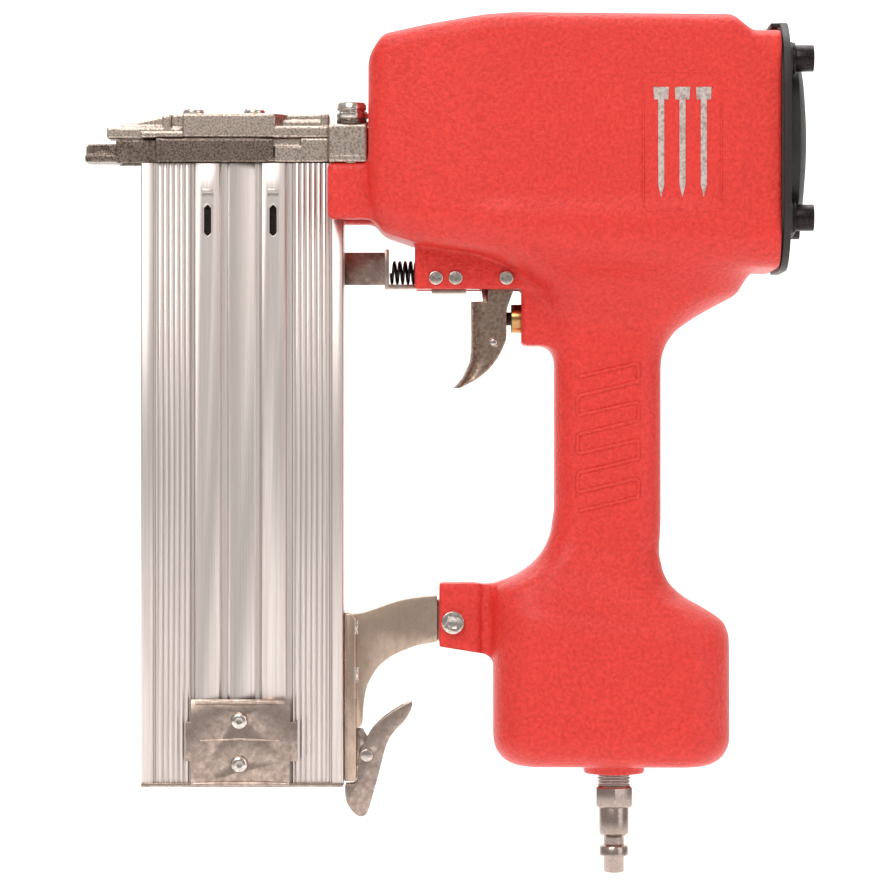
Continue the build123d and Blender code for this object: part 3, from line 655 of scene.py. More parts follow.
black_powder = mottled(
    "black_powder_coat", "110e0e", "221c1c", 0.9, 0.08, 0.5, metallic=0.0, IOR=1.5
)
black_screw = mottled("black_oxide_steel", "191616", "3a3333", 0.6, 0.01, 0.36, metallic=0.85)
gasket_fibre = mottled("gasket_fibre_sheet", "2b2726", "453f3c", 0.5, 0.05, 0.85, metallic=0.0)


def dressed_copy(name, material, body, slot, *nodes, edge=0.35, rounds=2, angle=34):
    """A copy of CAD nodes with their triangles joined into faces and each corner broken."""
    shell = bmesh.new()
    for node in nodes:
        shell.from_mesh(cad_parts[node].data)
    bmesh.ops.remove_doubles(shell, verts=shell.verts, dist=2e-6)
    bmesh.ops.dissolve_limit(
        shell, angle_limit=math.radians(1.2), verts=shell.verts, edges=shell.edges
    )
    mesh = bpy.data.meshes.new(name)
    shell.to_mesh(mesh)
    shell.free()
    mesh.materials.clear()
    mesh.materials.append(material)
    piece = bpy.data.objects.new(name, mesh)
    bpy.context.collection.objects.link(piece)
    corner = piece.modifiers.new("corner", "BEVEL")
    corner.width = edge * MM
    corner.segments = rounds
    corner.limit_method = "ANGLE"
    corner.angle_limit = math.radians(angle)
    settled(piece)
    for face in piece.data.polygons:
        face.material_index = 0
    smooth_faces(piece, 40)
    return fitted(piece, body, slot, *nodes)


def coated(material, *nodes):
    """CAD nodes that show as they are, in this material."""
    for node in nodes:
        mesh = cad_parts[node].data
        mesh.materials.clear()
        mesh.materials.append(material)


dressed_copy("cap_casting", black_powder, "root", "black_cap", "cylinder_cap", edge=1.1, rounds=3)
dressed_copy("cap_screws", black_screw, "root", "spring_steel", "cap_bolts", edge=0.4)
dressed_copy("cap_screw_washers", black_screw, "root", "spring_steel", "cap_washers", edge=0.2)
coated(gasket_fibre, "cap_gasket")

# ---------------------------------------------------------------- nose
# Guide block and cover plate, both investment-cast steel in dull nickel: the tumbled skin is
# speckled light and dark, and its ground chamfers are bright lines.

nickel_cast = mottled(
    "tumbled_nickel_casting", "86766b", "d6c8bd", 0.8, 0.07, 0.34, spread=(0.36, 0.6), swing=0.1
)
nickel_dark = mottled(
    "dark_nickel_casting", "4b4039", "9f9085", 0.8, 0.08, 0.36, spread=(0.38, 0.64), swing=0.1
)


def nose_cover_distance(x, y, z):
    side = np.abs(y)
    plate = block(x, side, z, (8.9, -9.0, 1.3), (40, 9.0, 5.7), 0.7)
    foot_plate = block(x, side, z, (23, -13.0, 1.3), (41, 13.0, 3.9), 0.6)
    slope = z - 5.9 - (x - 8.9) * 0.2
    wedge = common(block(x, side, z, (9.4, -6.4, 2), (34.4, 6.4, 12), 0.5), slope, 0.8)
    brim = common(block(x, side, z, (31.5, -9.0, 2), (35.2, 9.0, 12), 0.5), slope, 0.8)
    heart = block(x, side, z, (34, -7.0, 1.3), (99.6, 7.0, 11.1), 0.5)
    body = np.minimum(joined(plate, wedge, 1.4), joined(foot_plate, heart, 1.0))
    body = np.minimum(body, brim)
    raised = block(x, side, z, (40, -13.5, 1.3), (77.4, 13.5, 11.1), 0.9)
    ramp = (x - 77.4 + 0.75 * (side - 13.5)) * 0.8
    cheek = common(block(x, side, z, (70, -13.5, 1.3), (84, 13.5, 11.1), 0.7), ramp, 0.5)
    rear = block(x, side, z, (76, -13.5, 1.3), (99.6, 13.5, 6.0), 0.8)
    end = block(x, side, z, (96.2, -12.2, 1.3), (99.6, 12.2, 11.1), 0.6)
    step = block(x, side, z, (80, -9.0, 2), (98, 9.0, 8.6), 0.7)
    for part in (raised, cheek, rear, end, step):
        body = np.minimum(body, part)
    for sx in (44.3, 69.1):
        body = np.maximum(body, 2.15 - np.hypot(x - sx, side - 8.2))
    return body


def nose_guide_distance(x, y, z):
    side = np.abs(y)
    body = block(x, side, z, (40, -13, -8.8), (99.6, 13, 1.15), 0.7)
    body = np.minimum(body, block(x, side, z, (23.2, -7, -8.8), (42, 7, 1.15), 0.5))
    hook = block(x, side, z, (66.5, -15.0, -1.6), (71.5, 15.0, 1.15), 0.5)
    slot = block(x, side, z, (72.4, 10.4, -2.3), (88.2, 16, 1.6), 0.35)
    body = np.maximum(body, -slot)
    body = np.maximum(body, -block(x, side, z, (60, 12.7, -12), (77.4, 18, -1.8), 0.3))
    lug = block(x, side, z, (99.7, -26, -8.8), (115.6, 26, 5.9), 1.1)
    leg = block(x, side, z, (100, 15, -9.6), (115.6, 26, -7), 0.7)
    body = np.minimum(body, joined(lug, leg, 0.5))
    body = np.maximum(body, 4.1 - np.hypot(x - 109, side - 20.5))
    return np.maximum(body, -block(x, side, z, (15, -3.6, -1.2), (120, 3.6, 1.4), 0.2))


fitted(
    solid_from(
        "nose_cover_casting", nose_cover_distance, (8, -14.5, 0.5), (100.5, 14.5, 12), 0.5, nickel_cast
    ),
    "root", "nickel_plated_cast", "nose_cover",
)
fitted(
    solid_from(
        "nose_guide_casting", nose_guide_distance, (22, -27, -10.5), (116.5, 27, 7), 0.62, nickel_cast
    ),
    "root", "nickel_plated_cast", "nose_guide",
)

# ---------------------------------------------------------------- screws and pins
# Bright zinc screws with domed heads and round recesses, and the plain pins through the trigger
# lug. Each screw's head is turned once and set where its fellows stand.

bright_zinc = mottled("bright_zinc_plate", "b5a79f", "ece6e1", 1.4, 0.012, 0.17, swing=0.06)


def instance_tree():
    """The fastener in Piece, set on every point of the mesh."""
    tree, given = node_tree("set_on_points", [("Piece", "Object"), ("Finish", "Material")])
    shape = add_node(tree, "GeometryNodeObjectInfo", {"Object": given.outputs["Piece"]})
    put = add_node(
        tree,
        "GeometryNodeInstanceOnPoints",
        {"Points": given.outputs["Geometry"], "Instance": shape.outputs["Geometry"]},
    )
    plain = add_node(tree, "GeometryNodeRealizeInstances", {0: put.outputs[0]})
    coat = add_node(
        tree, "GeometryNodeSetMaterial", {0: plain.outputs[0], "Material": given.outputs["Finish"]}
    )
    out = tree.nodes.new("NodeGroupOutput")
    tree.links.new(coat.outputs[0], out.inputs[0])
    return tree


FASTENERS = instance_tree()


def set_on(name, shape, places, material):
    """Copies of a shape at each place in millimetres. The shape itself is used up."""
    piece = new_piece(name, places, [], material)
    grown(piece, FASTENERS, Piece=shape, Finish=material)
    bpy.data.objects.remove(shape)
    return piece


def screw_head(radius, height, dish, direction, shank, shank_length, material):
    """A pan head with a socket, on a plain shank, turned about the origin."""
    profile = [
        (0, -shank_length), (shank * 0.8, -shank_length), (shank, 0.6 - shank_length), (shank, 0),
        (radius * 0.96, 0), (radius, 0.25), (radius, height * 0.42), (radius * 0.9, height * 0.78),
        (radius * 0.72, height * 0.97), (dish * 1.16, height), (dish, height - 0.15),
        (dish, height * 0.35), (0, height * 0.3),
    ]
    return turned("head", profile, (0, 0, 0), direction, material, 36)


fitted(
    set_on(
        "cover_screws",
        screw_head(4.5, 2.4, 1.9, (0, 0, 1), 1.95, 15.0, bright_zinc),
        [(x, y, 11.1) for x in (44.3, 69.1) for y in (-8.2, 8.2)],
        bright_zinc,
    ),
    "root", "bright_steel", "nose_cover_screws",
)
nose_bolt = turned(
    "nose_bolt",
    [
        (0, -28), (3.2, -28), (3.95, -27), (3.95, 8.1), (5.6, 8.15), (5.95, 8.7), (5.95, 10.2),
        (5.6, 10.6), (5.35, 10.8), (5.35, 11.3), (5.6, 11.5), (5.95, 11.9), (5.95, 13.6),
        (5.3, 14.55), (3.6, 14.7), (3.3, 14.4), (3.3, 11), (0, 10.6),
    ],
    (0, 0, 0), (0, 0, 1), bright_zinc,
)
fitted(
    set_on("nose_socket_screws", nose_bolt, [(109, -20.5, 0), (109, 20.5, 0)], bright_zinc),
    "root", "bright_steel", "nose_bolts",
)
dressed_copy("nose_screw_washers", nickel_dark, "root", "spring_steel", "nose_bolt_washers", edge=0.25)
coated(bright_zinc, "rail_screws")
dressed_copy("lug_pins", bright_zinc, "root", "bright_steel", "guide_pins", "trigger_pin", edge=0.6, rounds=3)
dressed_copy("bracket_socket_screw", bright_zinc, "root", "bright_steel", "bracket_screw", edge=0.5, rounds=3)
dressed_copy("bracket_hexagon_nut", bright_zinc, "root", "bright_steel", "bracket_nut", edge=0.3)
coated(black_screw, "pin_clips")

# ---------------------------------------------------------------- safety contact
# The foot that touches the work, with a cheek along each side of the nose, cast in one piece and
# plated dull nickel. A bent strip joins it to the trigger, and a black spring pushes it forward.


def safety_contact_distance(x, y, z):
    side = np.abs(y)
    toe = block(x, side, z, (0, -9, -8.3), (14.3, 9, -5.4), 0.6)
    top = z + 0.9 - np.clip(x - 1.6, -3, 0) * 1.1
    upper = common(block(x, side, z, (0.4, -8.2, -7), (14.3, 8.2, -0.8), 0.5), top, 0.6)
    upper = np.maximum(upper, -block(x, side, z, (3.2, 6.6, -4.6), (9.6, 12, -1.9), 0.5))
    body = np.minimum(toe, upper)
    front = block(x, side, z, (12.6, 7.35, -8.8), (30.9, 9.1, 0.6), 0.5)
    across = block(x, side, z, (29.3, 7.35, -8.8), (31.2, 15.0, 0.6), 0.5)
    back = block(x, side, z, (29.6, 13.35, -8.8), (77, 15.1, 0.6), 0.5)
    corner = (x - 77) + (-8.8 - z) + 2.4
    back = common(back, corner, 0.5)
    body = np.minimum(body, joined(front, across, 0.8))
    body = np.minimum(body, joined(across, back, 0.8))
    return np.maximum(body, -block(x, side, z, (-2, -3.8, -1.5), (16, 3.8, 2), 0.2))


fitted(
    solid_from(
        "safety_foot", safety_contact_distance, (-1, -16, -9.8), (78, 16, 1.6), 0.42, nickel_dark
    ),
    "safety", "nickel_plated_cast", "safety_contact",
)
sheet_nickel = mottled(
    "nickel_plated_sheet", "94827a", "c9b8ac", 3.2, 0.03, 0.3, spread=(0.3, 0.72), swing=0.07
)
dressed_copy("safety_strip", sheet_nickel, "safety", "nickel_plated_sheet", "safety_link", edge=0.35)
dressed_copy("lug_clip", sheet_nickel, "root", "nickel_plated_sheet", "retaining_clip", edge=0.3)
spring_black = mottled("black_oiled_spring_wire", "1b1817", "4a4341", 0.7, 0.01, 0.3, metallic=0.9)


def spring_tree():
    """Round wire in a helix up Z with even turns; spring() closes the turns at its ends."""
    tree, given = node_tree(
        "coil_spring",
        [(label, "Float") for label in ("Mean Radius", "Wire Radius", "Turns", "Height")]
        + [("Finish", "Material")],
    )
    helix = add_node(
        tree,
        "GeometryNodeCurveSpiral",
        {
            "Resolution": 28,
            "Rotations": given.outputs["Turns"],
            "Start Radius": given.outputs["Mean Radius"],
            "End Radius": given.outputs["Mean Radius"],
            "Height": given.outputs["Height"],
        },
    )
    ring = add_node(
        tree, "GeometryNodeCurvePrimitiveCircle", {"Resolution": 10, "Radius": given.outputs["Wire Radius"]}
    )
    skin = add_node(
        tree,
        "GeometryNodeCurveToMesh",
        {"Curve": helix.outputs[0], "Profile Curve": ring.outputs[0], "Fill Caps": True},
    )
    plain = add_node(tree, "GeometryNodeRealizeInstances", {0: skin.outputs[0]})
    coat = add_node(
        tree, "GeometryNodeSetMaterial", {0: plain.outputs[0], "Material": given.outputs["Finish"]}
    )
    out = tree.nodes.new("NodeGroupOutput")
    tree.links.new(coat.outputs[0], out.inputs[0])
    return tree


SPRING = spring_tree()


def spring(name, mean, wire, turns, start, end, material):
    """A coil spring from start to end, which lie along X, Y or Z, with its last turns closed."""
    length = math.dist(start, end)
    piece = new_piece(name, [(0, 0, 0)], [], material)
    grown(
        piece, SPRING, Mean_Radius=mean * MM, Wire_Radius=wire * MM, Turns=turns,
        Height=(length - 2 * wire) * MM, Finish=material,
    )
    closed = 2.4 * wire / length
    for v in piece.data.vertices:
        share = v.co.z / ((length - 2 * wire) * MM)
        start_pull = math.exp(-share / closed) * -share
        end_pull = math.exp((share - 1) / closed) * (1 - share)
        eased = share + 0.8 * closed * (start_pull + end_pull)
        v.co.z = (wire + eased * (length - 2 * wire)) * MM
    way = (Vector(end) - Vector(start)).to_track_quat("Z", "Y").to_matrix().to_4x4()
    piece.data.transform(Matrix.Translation(Vector(start) * MM) @ way)
    return piece


safety_coil = spring("safety_return_spring", 4.3, 0.6, 7, (123.9, 0, -53.2), (140.4, 0, -53.2), spring_black)
fitted(safety_coil, "root", "spring_steel", "safety_spring")
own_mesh(safety_coil)

# ---------------------------------------------------------------- trigger and valve
# The trigger is a folded and plated sheet, open at its back, with a lever on a pin between its
# cheeks. Behind it is the turned brass body of the trigger valve, with a black stem.

trigger_plate = mottled(
    "brushed_trigger_sheet", "775f4f", "c8b1a2", 1.6, 0.02, 0.28, spread=(0.3, 0.7), swing=0.06
)


def softened(points, rounds=2):
    """A closed outline with its corners cut and cut again, which rounds them. A point that is
    given twice stays sharp."""
    for _ in range(rounds):
        cut = []
        for a, b in zip(points, points[1:] + points[:1]):
            if a == b:
                cut.append(a)
                continue
            cut.append(tuple(0.78 * p + 0.22 * q for p, q in zip(a, b)))
            cut.append(tuple(0.22 * p + 0.78 * q for p, q in zip(a, b)))
        points = cut
    return points


def plate(name, outline, y0, y1, material):
    """A flat plate, its outline in X and Z, between two Y planes."""
    count = len(outline)
    vertices = [(x, y, z) for y in (y0, y1) for x, z in outline]
    faces = [(i, (i + 1) % count, count + (i + 1) % count, count + i) for i in range(count)]
    faces += [tuple(range(count - 1, -1, -1)), tuple(range(count, 2 * count))]
    return facing_out(new_piece(name, vertices, faces, material))


def edged(piece, width, rounds=2, angle=34):
    """Breaks the piece's corners, and shades what is smooth."""
    corner = piece.modifiers.new("corner", "BEVEL")
    corner.width = width * MM
    corner.segments = rounds
    corner.limit_method = "ANGLE"
    corner.angle_limit = math.radians(angle)
    settled(piece)
    smooth_faces(piece, 42)
    return piece


def cross_bar(x, z, radius, y0=-12.0, y1=12.0):
    """A bar across the tool, used only to cut."""
    return turned("cutter", [(0, y0), (radius, y0), (radius, y1), (0, y1)], (x, 0, z), (0, 1, 0), enamel)


TRIGGER_FRONT = [
    (-101.5, 148.6), (-100.0, 150.4), (-96.6, 153.6), (-90.0, 156.8), (-84.0, 157.4),
    (-65.2, 157.2), (-50.0, 157.2),
]
TRIGGER_REAR = [
    (-101.5, 150.5), (-99.4, 155.0), (-96.6, 160.3), (-92.5, 165.2), (-87.6, 168.8),
    (-80.8, 171.9), (-68.5, 171.9), (-62.0, 174.2), (-57.5, 176.2), (-50.0, 176.2),
]


def trigger_distance(x, y, z):
    side = np.abs(y)
    toward = along(z, TRIGGER_FRONT, 1.2) + 7 - x
    across = side - 1
    fold = np.hypot(np.maximum(toward, 0), np.maximum(across, 0))
    fold = fold + np.minimum(np.maximum(toward, across), 0) - 7
    shell = common(fold, -1.4 - fold, 0.4)
    shell = common(shell, x - along(z, TRIGGER_REAR, 1.0), 0.5)
    shell = common(shell, z + 51.2, 0.5)
    shell = common(shell, -100.5 - z, 0.5)
    shell = np.maximum(shell, np.minimum(z + 65.2, 164.3 - x))
    shell = np.maximum(shell, 2.1 - np.hypot(x - 171.8, z + 55.8))
    return np.maximum(shell, 1.55 - np.hypot(x - 166.6, z + 81.9))


trigger_shell = solid_from(
    "trigger_shell", trigger_distance, (147, -9, -102), (178, 9, -50), 0.42, trigger_plate
)
fitted(trigger_shell, "trigger_body", "nickel_plated_sheet", "trigger")
dressed_copy("lever_hinge_pin", bright_zinc, "trigger_body", "bright_steel", "lever_pin", edge=0.4)
dressed_copy("safety_lever", sheet_nickel, "lever", "nickel_plated_sheet", "trigger_lever", edge=0.3)
brass_turned = mottled(
    "turned_brass", "9a6a3c", "dfb078", 0.9, 0.01, 0.22, stretch=(6, 1, 1), spread=(0.3, 0.7)
)
dressed_copy("valve_brass_body", brass_turned, "root", "brass", "valve_body", edge=0.35)
rubber = mottled("moulded_nitrile_rubber", "141313", "2b2828", 0.5, 0.02, 0.62, metallic=0.0)
plastic = mottled("moulded_acetal", "161514", "2e2b2a", 0.8, 0.015, 0.42, metallic=0.0, IOR=1.48)
dressed_copy("valve_push_rod", plastic, "stem", "black_plastic", "valve_stem", edge=0.3)
coated(rubber, "valve_o_rings", "sleeve_o_ring", "head_valve_seal", "bumper")
coated(spring_black, "trigger_spring", "latch_spring")

# ---------------------------------------------------------------- magazine
# Two anodised aluminium extrusions, the fixed rail behind and the sliding cover in front, drawn
# with ribs and flats that run their whole length. The die leaves fine lines along them.

anodised = mottled(
    "satin_anodised_aluminium", "c4bab6", "e3dcd9", 0.9, 0.006, 0.4, stretch=(1, 1, 0.012),
    spread=(0.25, 0.75), swing=0.05,
)
MAG_BASE, MAG_HEAD = -261.2, -9.2


def ribs(start, end, pitch, depth, height):
    """The up and down steps of fine ribs along an outline."""
    points, x = [], start
    while x < end - 0.3 * pitch:
        points += [
            (x, depth + height), (x + 0.3 * pitch, depth - height),
            (x + 0.6 * pitch, depth - height), (x + 0.9 * pitch, depth + height),
        ]
        x += pitch
    return points


FACE = (
    [(23.2, 0.9), (23.7, 0.35), (28.0, 0.35), (28.3, 1.4), (29.0, 1.4), (29.3, 0.8)]
    + ribs(29.9, 43.0, 2.2, 0.85, 0.3)
    + [
        (43.3, 0.8), (43.6, 1.8), (44.6, 1.8), (45.4, 0.0), (54.9, 0.0), (55.6, 0.6), (56.0, 2.0),
        (58.2, 2.0), (58.8, 1.3), (59.5, 1.6), (69.3, 1.6), (69.8, 2.0), (71.3, 2.0), (72.0, 0.5),
        (72.6, 0.0), (81.6, 0.0), (82.3, 0.6), (82.6, 1.8), (84.6, 1.8), (85.0, 0.8),
    ]
    + ribs(85.7, 98.0, 2.2, 0.85, 0.3)
    + [(98.4, 0.8), (99.6, 0.8), (99.9, 1.6), (100.6, 1.6), (101.0, 0.35), (105.0, 0.35), (105.4, 0.9)]
)


def extrusion(name, outline, low, high):
    """A section in X and Y drawn along Z."""
    count = len(outline)
    vertices = [(x, y, z) for z in (low, high) for x, y in outline]
    faces = [(i, (i + 1) % count, count + (i + 1) % count, count + i) for i in range(count)]
    faces += [tuple(range(count - 1, -1, -1)), tuple(range(count, 2 * count))]
    return facing_out(new_piece(name, vertices, faces, anodised))


cover_inside = [
    (105.4, -0.15), (100.9, -0.15), (100.9, -2.25), (97.8, -2.25), (97.8, -0.15), (95.0, -0.15),
    (95.0, -3.6), (29.0, -3.6), (29.0, -0.15), (27.9, -0.15), (27.9, -2.25), (24.8, -2.25),
    (24.8, -0.15), (23.2, -0.15),
]
cover = extrusion(
    "magazine_cover_extrusion", [(x, -14.0 + d) for x, d in FACE] + cover_inside, MAG_BASE, MAG_HEAD
)
WINDOW_X = (50.3, 76.9)


def stadium(x, low, high, half):
    """An upright slot with round ends, used only to cut."""
    points = []
    for middle, start in ((high - half, 0), (low + half, 180)):
        for s in range(9):
            a = math.radians(start + 180 * s / 8)
            points.append((x + half * math.cos(a), middle + half * math.sin(a)))
    return plate("cutter", points, -16.0, -3.3, enamel)


cut_by(
    cover,
    cutter((32, -10.8, -262), (55, -6, -44)),
    cutter((73, -10.8, -262), (96, -6, -44)),
    *[stadium(x, -39.2, -25.8, 1.5) for x in WINDOW_X],
    *[cutter((x - 2.2, -15, -22.7), (x + 2.2, -12.6, -21.5)) for x in WINDOW_X],
)
fitted(edged(cover, 0.16, 1, 30), "magazine_slider", "anodised_aluminium", "magazine_cover")
for i, x in enumerate(WINDOW_X):
    rim = [(x + 1.75, -14.0, -27.3), (x + 1.75, -14.0, -37.7), (x, -14.0, -39.5), (x - 1.75, -14.0, -37.7)]
    rim += [(x - 1.75, -14.0, -27.3), (x, -14.0, -25.5)]
    ring = raised_line(f"window_rim_{i}", rim, 0.4, anodised, closed=True, corners=0.9)
    fitted(ring, "magazine_slider", "anodised_aluminium")
    # A thin black plate inside each slot: painted shade, so the slot looks dark from outside.
    back = plate(
        f"window_back_{i}",
        [(x - 1.5, -39.2), (x + 1.5, -39.2), (x + 1.5, -25.8), (x - 1.5, -25.8)],
        -10.4, -9.8, spring_black,
    )
    fitted(back, "magazine_slider", "spring_steel")
for i, x in enumerate(WINDOW_X):
    louvre = plate(
        f"window_louvre_{i}",
        [(x - 2.2, -21.4), (x + 2.2, -21.4), (x + 2.2, -19.6), (x - 2.2, -19.6)],
        -14.35, -13.6, anodised,
    )
    fitted(edged(louvre, 0.3, 2), "magazine_slider", "anodised_aluminium")

rail_inside = [
    (23.2, 0.15), (25.0, 0.15), (25.0, -2.0), (27.7, -2.0), (27.7, 0.15), (29.0, 0.15), (29.0, 3.6),
    (95.0, 3.6), (95.0, 0.15), (98.0, 0.15), (98.0, -2.0), (100.7, -2.0), (100.7, 0.15),
    (105.4, 0.15),
]
rail = extrusion(
    "magazine_rail_extrusion", [(x, 14.0 - d) for x, d in FACE[::-1]] + rail_inside, -261.0, -8.9
)
cut_by(
    rail,
    cutter((32, 6.2, -262), (92, 11.8, -26)),
    *[
        turned("cutter", [(0, -20.6), (1.9, -20.6), (1.9, 0), (0, 0)], (x, 8.8, 0), (0, 0, 1), enamel)
        for x in (56.7, 88.0)
    ],
)
fitted(edged(rail, 0.16, 1, 30), "root", "anodised_aluminium", "magazine_rail")

dressed_copy("nail_pusher_block", plastic, "nail_pusher", "black_plastic", "pusher", edge=0.4)
ground_steel = mottled("ground_steel", "6d6966", "a9a4a0", 0.8, 0.004, 0.24, stretch=(1, 1, 8))
coated(ground_steel, "pusher_rod", "driver_blade")
feed_coil = spring("pusher_feed_spring", 2.2, 0.3, 46, (62, 0, -261.0), (62, 0, -38.6), spring_black)
fitted(feed_coil, "magazine_slider", "spring_steel", "pusher_spring")
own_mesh(feed_coil)

# ---------------------------------------------------------------- magazine end plate
# A pressed steel foot closes the cover's lower end and laps up its face, where two pan screws
# hold it. Its rim is folded, a crease crosses it, and a short wing stands out at each side.

pressed = dressed_copy(
    "end_plate_pressing", sheet_nickel, "magazine_slider", "nickel_plated_sheet",
    "magazine_end_plate", edge=0.5, rounds=3,
)
hem = raised_line(
    "end_plate_hem",
    [
        (45.4, -15.7, -228.4), (55, -15.9, -228.2), (63.6, -15.9, -228.6),
        (72, -15.9, -228.2), (81.8, -15.7, -228.4),
    ],
    0.75, sheet_nickel, corners=0.3,
)
fitted(hem, "magazine_slider", "nickel_plated_sheet")
lip = raised_line(
    "end_plate_lip",
    [(44.6, -15.3, -261.6), (54, -15.7, -261.3), (73, -15.7, -261.3), (82.6, -15.3, -261.6)],
    1.0, sheet_nickel, corners=0.3,
)
fitted(lip, "magazine_slider", "nickel_plated_sheet")
crease = raised_line(
    "end_plate_crease",
    [
        (47.5, -15.6, -243.9), (58, -15.7, -243.5), (63.3, -15.7, -243.2),
        (69, -15.7, -243.5), (79.5, -15.6, -243.9),
    ],
    0.55, sheet_nickel, corners=0.3,
)
fitted(crease, "magazine_slider", "nickel_plated_sheet")
fitted(
    set_on(
        "end_plate_pan_screws",
        screw_head(3.5, 2.0, 1.2, (0, -1, 0), 1.9, 9.0, bright_zinc),
        [(63.3, -15.6, -235.8), (63.3, -15.6, -253.4)],
        bright_zinc,
    ),
    "magazine_slider", "bright_steel", "end_plate_screws",
)

# ---------------------------------------------------------------- magazine bracket
# A curved arm pressed from sheet and welded to a channel strip behind the magazine. Its tab sits
# in the slot of the tank's ear on one screw. The weld beads are left bright.

arm_sheet = mottled(
    "brushed_bracket_sheet", "a8917f", "dac5b7", 5.0, 0.02, 0.3, stretch=(1, 1, 0.45),
    spread=(0.25, 0.8), swing=0.06,
)
arm_outline = softened(
    [
        (143.6, -185.3), (134.1, -186.0), (126.3, -187.7), (118.1, -190.8), (112.8, -192.5),
        (106.0, -193.0), (106.0, -193.0), (106.0, -239.5), (106.0, -239.5), (113.0, -239.5),
        (113.2, -232.0), (114.6, -222.5), (118.8, -214.8), (125.0, -209.6), (135.0, -205.6),
        (143.6, -204.2), (143.6, -204.2), (143.6, -185.3),
    ]
)
arm_hollow = softened(
    [
        (146.0, -187.2), (134.0, -188.0), (119.0, -192.6), (110.7, -194.6), (110.7, -231.0),
        (112.5, -221.5), (117.5, -213.0), (124.0, -208.2), (135.0, -204.0), (146.0, -202.0),
    ]
)
arm = plate("bracket_arm", arm_outline, -7.0, 7.0, arm_sheet)
cut_by(arm, plate("cutter", arm_hollow, -5.2, 9.0, enamel))
fitted(edged(arm, 0.7, 3), "root", "nickel_plated_sheet")
strip = plate(
    "bracket_strip",
    [(105.6, -192.3), (108.4, -192.3), (110.7, -194.4), (110.7, -261.0), (105.6, -261.0)],
    -9.0, 13.8, arm_sheet,
)
fitted(edged(strip, 0.9, 3), "root", "nickel_plated_sheet")
tab = plate(
    "bracket_tab",
    [(141.9, -187.0), (157.8, -187.0), (157.8, -204.0), (141.9, -204.0)], -2.0, 2.0, sheet_nickel,
)
cut_by(tab, cross_bar(150.0, -196.2, 2.55))
fitted(edged(tab, 0.4), "root", "nickel_plated_sheet")
fork_outline = [
    (109.7, -240.0), (113.0, -240.0), (116.6, -246.4), (117.3, -255.0), (109.7, -255.0),
]
fork = [plate("ear", fork_outline, y, y + 2, sheet_nickel) for y in (-4.6, 2.6)]
for i, ear in enumerate(fork):
    ear.name = f"latch_fork_{i}"
    cut_by(ear, cross_bar(114.8, -250.4, 1.8))
    fitted(edged(ear, 0.3), "root", "nickel_plated_sheet")
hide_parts("magazine_bracket")
for i, (x, z, run) in enumerate(((110.6, -195.5, 5.5), (110.9, -214.5, 6.0))):
    bead = [(x + 0.25 * math.sin(3 * s), -8.2 + 0.15 * math.cos(5 * s), z - run * s / 6) for s in range(7)]
    fitted(raised_line(f"weld_bead_{i}", bead, 0.95, bright_zinc, corners=0.3), "root", "nickel_plated_sheet")

# ---------------------------------------------------------------- latch
# A pressed lever on a pin in the bracket's fork, with its thumb end flared and its foot rounded.

latch_outline = softened(
    [
        (133.6, -228.8), (133.2, -231.5), (130.6, -236.2), (126.4, -240.2), (123.4, -244.6),
        (121.8, -249.7), (119.8, -258.0), (117.4, -266.5), (115.2, -274.2), (112.8, -275.8),
        (109.5, -274.3), (106.6, -270.0), (105.9, -266.0), (105.9, -262.6), (105.9, -262.6),
        (110.9, -262.4), (111.2, -254.0), (111.6, -249.6), (114.0, -245.2), (116.4, -240.4),
        (121.0, -235.6), (127.0, -231.4), (132.4, -228.6),
    ]
)
latch_hollow = softened(
    [
        (131.0, -230.5), (124.6, -239.5), (120.8, -246.0), (118.4, -256.0), (113.4, -270.5),
        (111.6, -268.5), (103.0, -264.6), (103.0, -240.0), (116.0, -232.0), (126.0, -228.0),
    ]
)
latch = plate("latch_pressing", latch_outline, -7.0, 7.0, sheet_nickel)
cut_by(latch, plate("cutter", latch_hollow, -5.0, 5.0, enamel), cross_bar(114.8, -250.4, 1.85))
fitted(edged(latch, 0.75, 3), "latch", "nickel_plated_sheet", "latch_lever")
dressed_copy("latch_hinge_pin", bright_zinc, "root", "bright_steel", "latch_pin", edge=0.5, rounds=3)

# ---------------------------------------------------------------- air plug
# A turned steel quick plug: tapered thread into the tank's boss, hexagon, shank, and the grooved
# nose that a coupler's balls hold. The plating has gone a little brown.

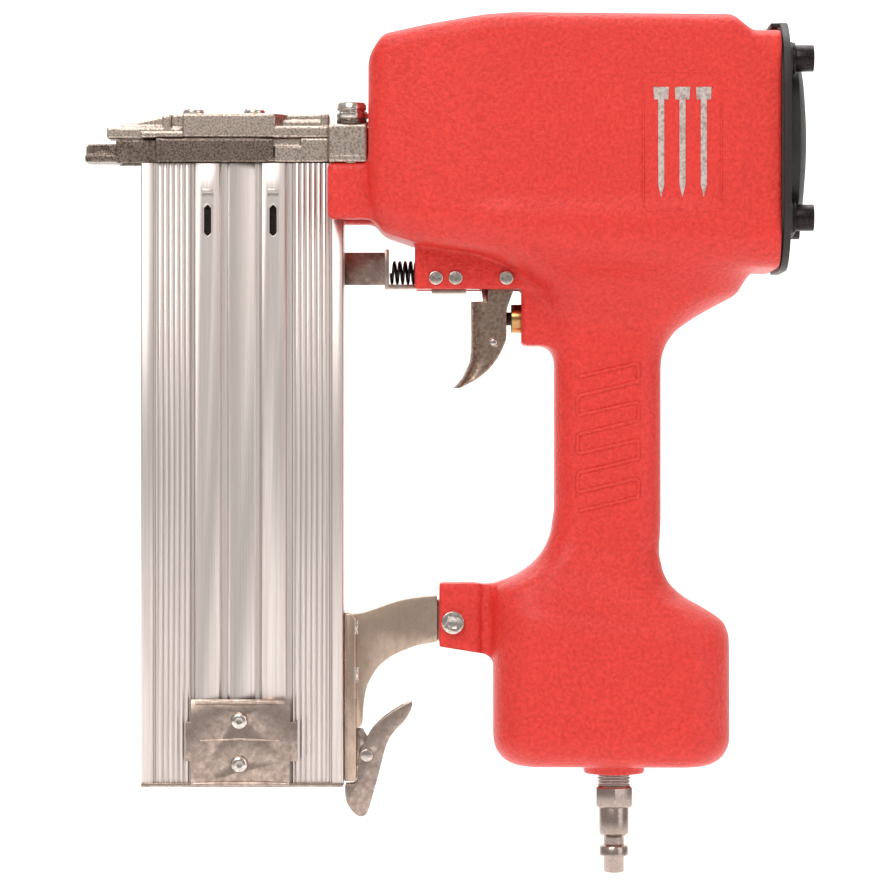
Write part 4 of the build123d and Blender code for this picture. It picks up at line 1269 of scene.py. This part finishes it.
plug_zinc = mottled(
    "turned_plug_steel", "8b7871", "cdbfb7", 0.8, 0.01, 0.24, stretch=(1, 1, 5), spread=(0.3, 0.7)
)
INLET = (216, 0, 0)
threads = []
for turn_of_thread in range(4):
    z = -263.4 + 1.36 * turn_of_thread
    r = 6.2 + 0.05 * turn_of_thread
    threads += [(r, z), (r + 0.65, z + 0.4), (r + 0.65, z + 0.65), (r, z + 1.05)]
plug = turned(
    "air_plug_body",
    [
        (2.8, -298.6), (3.3, -298.9), (3.9, -298.7), (4.2, -298.2), (4.2, -292.6), (4.5, -292.1),
        (5.5, -292.0), (5.9, -291.5), (5.9, -288.6), (5.5, -288.0), (4.6, -287.7), (4.2, -287.2),
        (4.2, -284.4), (4.6, -284.0), (6.0, -282.9), (6.1, -282.3), (6.1, -272.4), (5.9, -272.0),
        (5.9, -264.0),
    ]
    + threads
    + [(6.6, -258.0), (6.6, -249.5), (6.2, -249.0), (2.8, -249.0), (2.8, -298.6)],
    INLET, (0, 0, 1), plug_zinc, 56,
)
fitted(plug, "root", "zinc_plated_plug", "air_plug")
hexagon = turned(
    "air_plug_hexagon",
    [(5.0, -272.2), (7.2, -272.2), (8.4, -271.4), (8.4, -264.0), (7.2, -263.2), (5.0, -263.2), (5.0, -272.2)],
    INLET, (0, 0, 1), plug_zinc, 6, turn=math.radians(30),
)
fitted(edged(hexagon, 0.25, 2, 25), "root", "zinc_plated_plug")

# ---------------------------------------------------------------- inside the barrel
# Sleeve, piston, bumper and head valve: turned aluminium and rubber that show only through the
# nose when it is opened, in the finishes they are made with.

coated(anodised, "cylinder_sleeve", "piston")
coated(plastic, "piston_ring", "head_valve")
coated(ground_steel, "valve_retainer")
head_coil = spring("head_valve_return_spring", 19.6, 1.0, 3.5, (271.2, 0, 0), (287.4, 0, 0), spring_black)
fitted(head_coil, "root", "spring_steel", "head_valve_spring")
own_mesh(head_coil)
valve_coil = spring("valve_return_spring", 3.2, 0.35, 4.5, (189.7, 0, -72.1), (196.2, 0, -72.1), spring_black)
fitted(valve_coil, "root", "spring_steel", "valve_spring")
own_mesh(valve_coil)
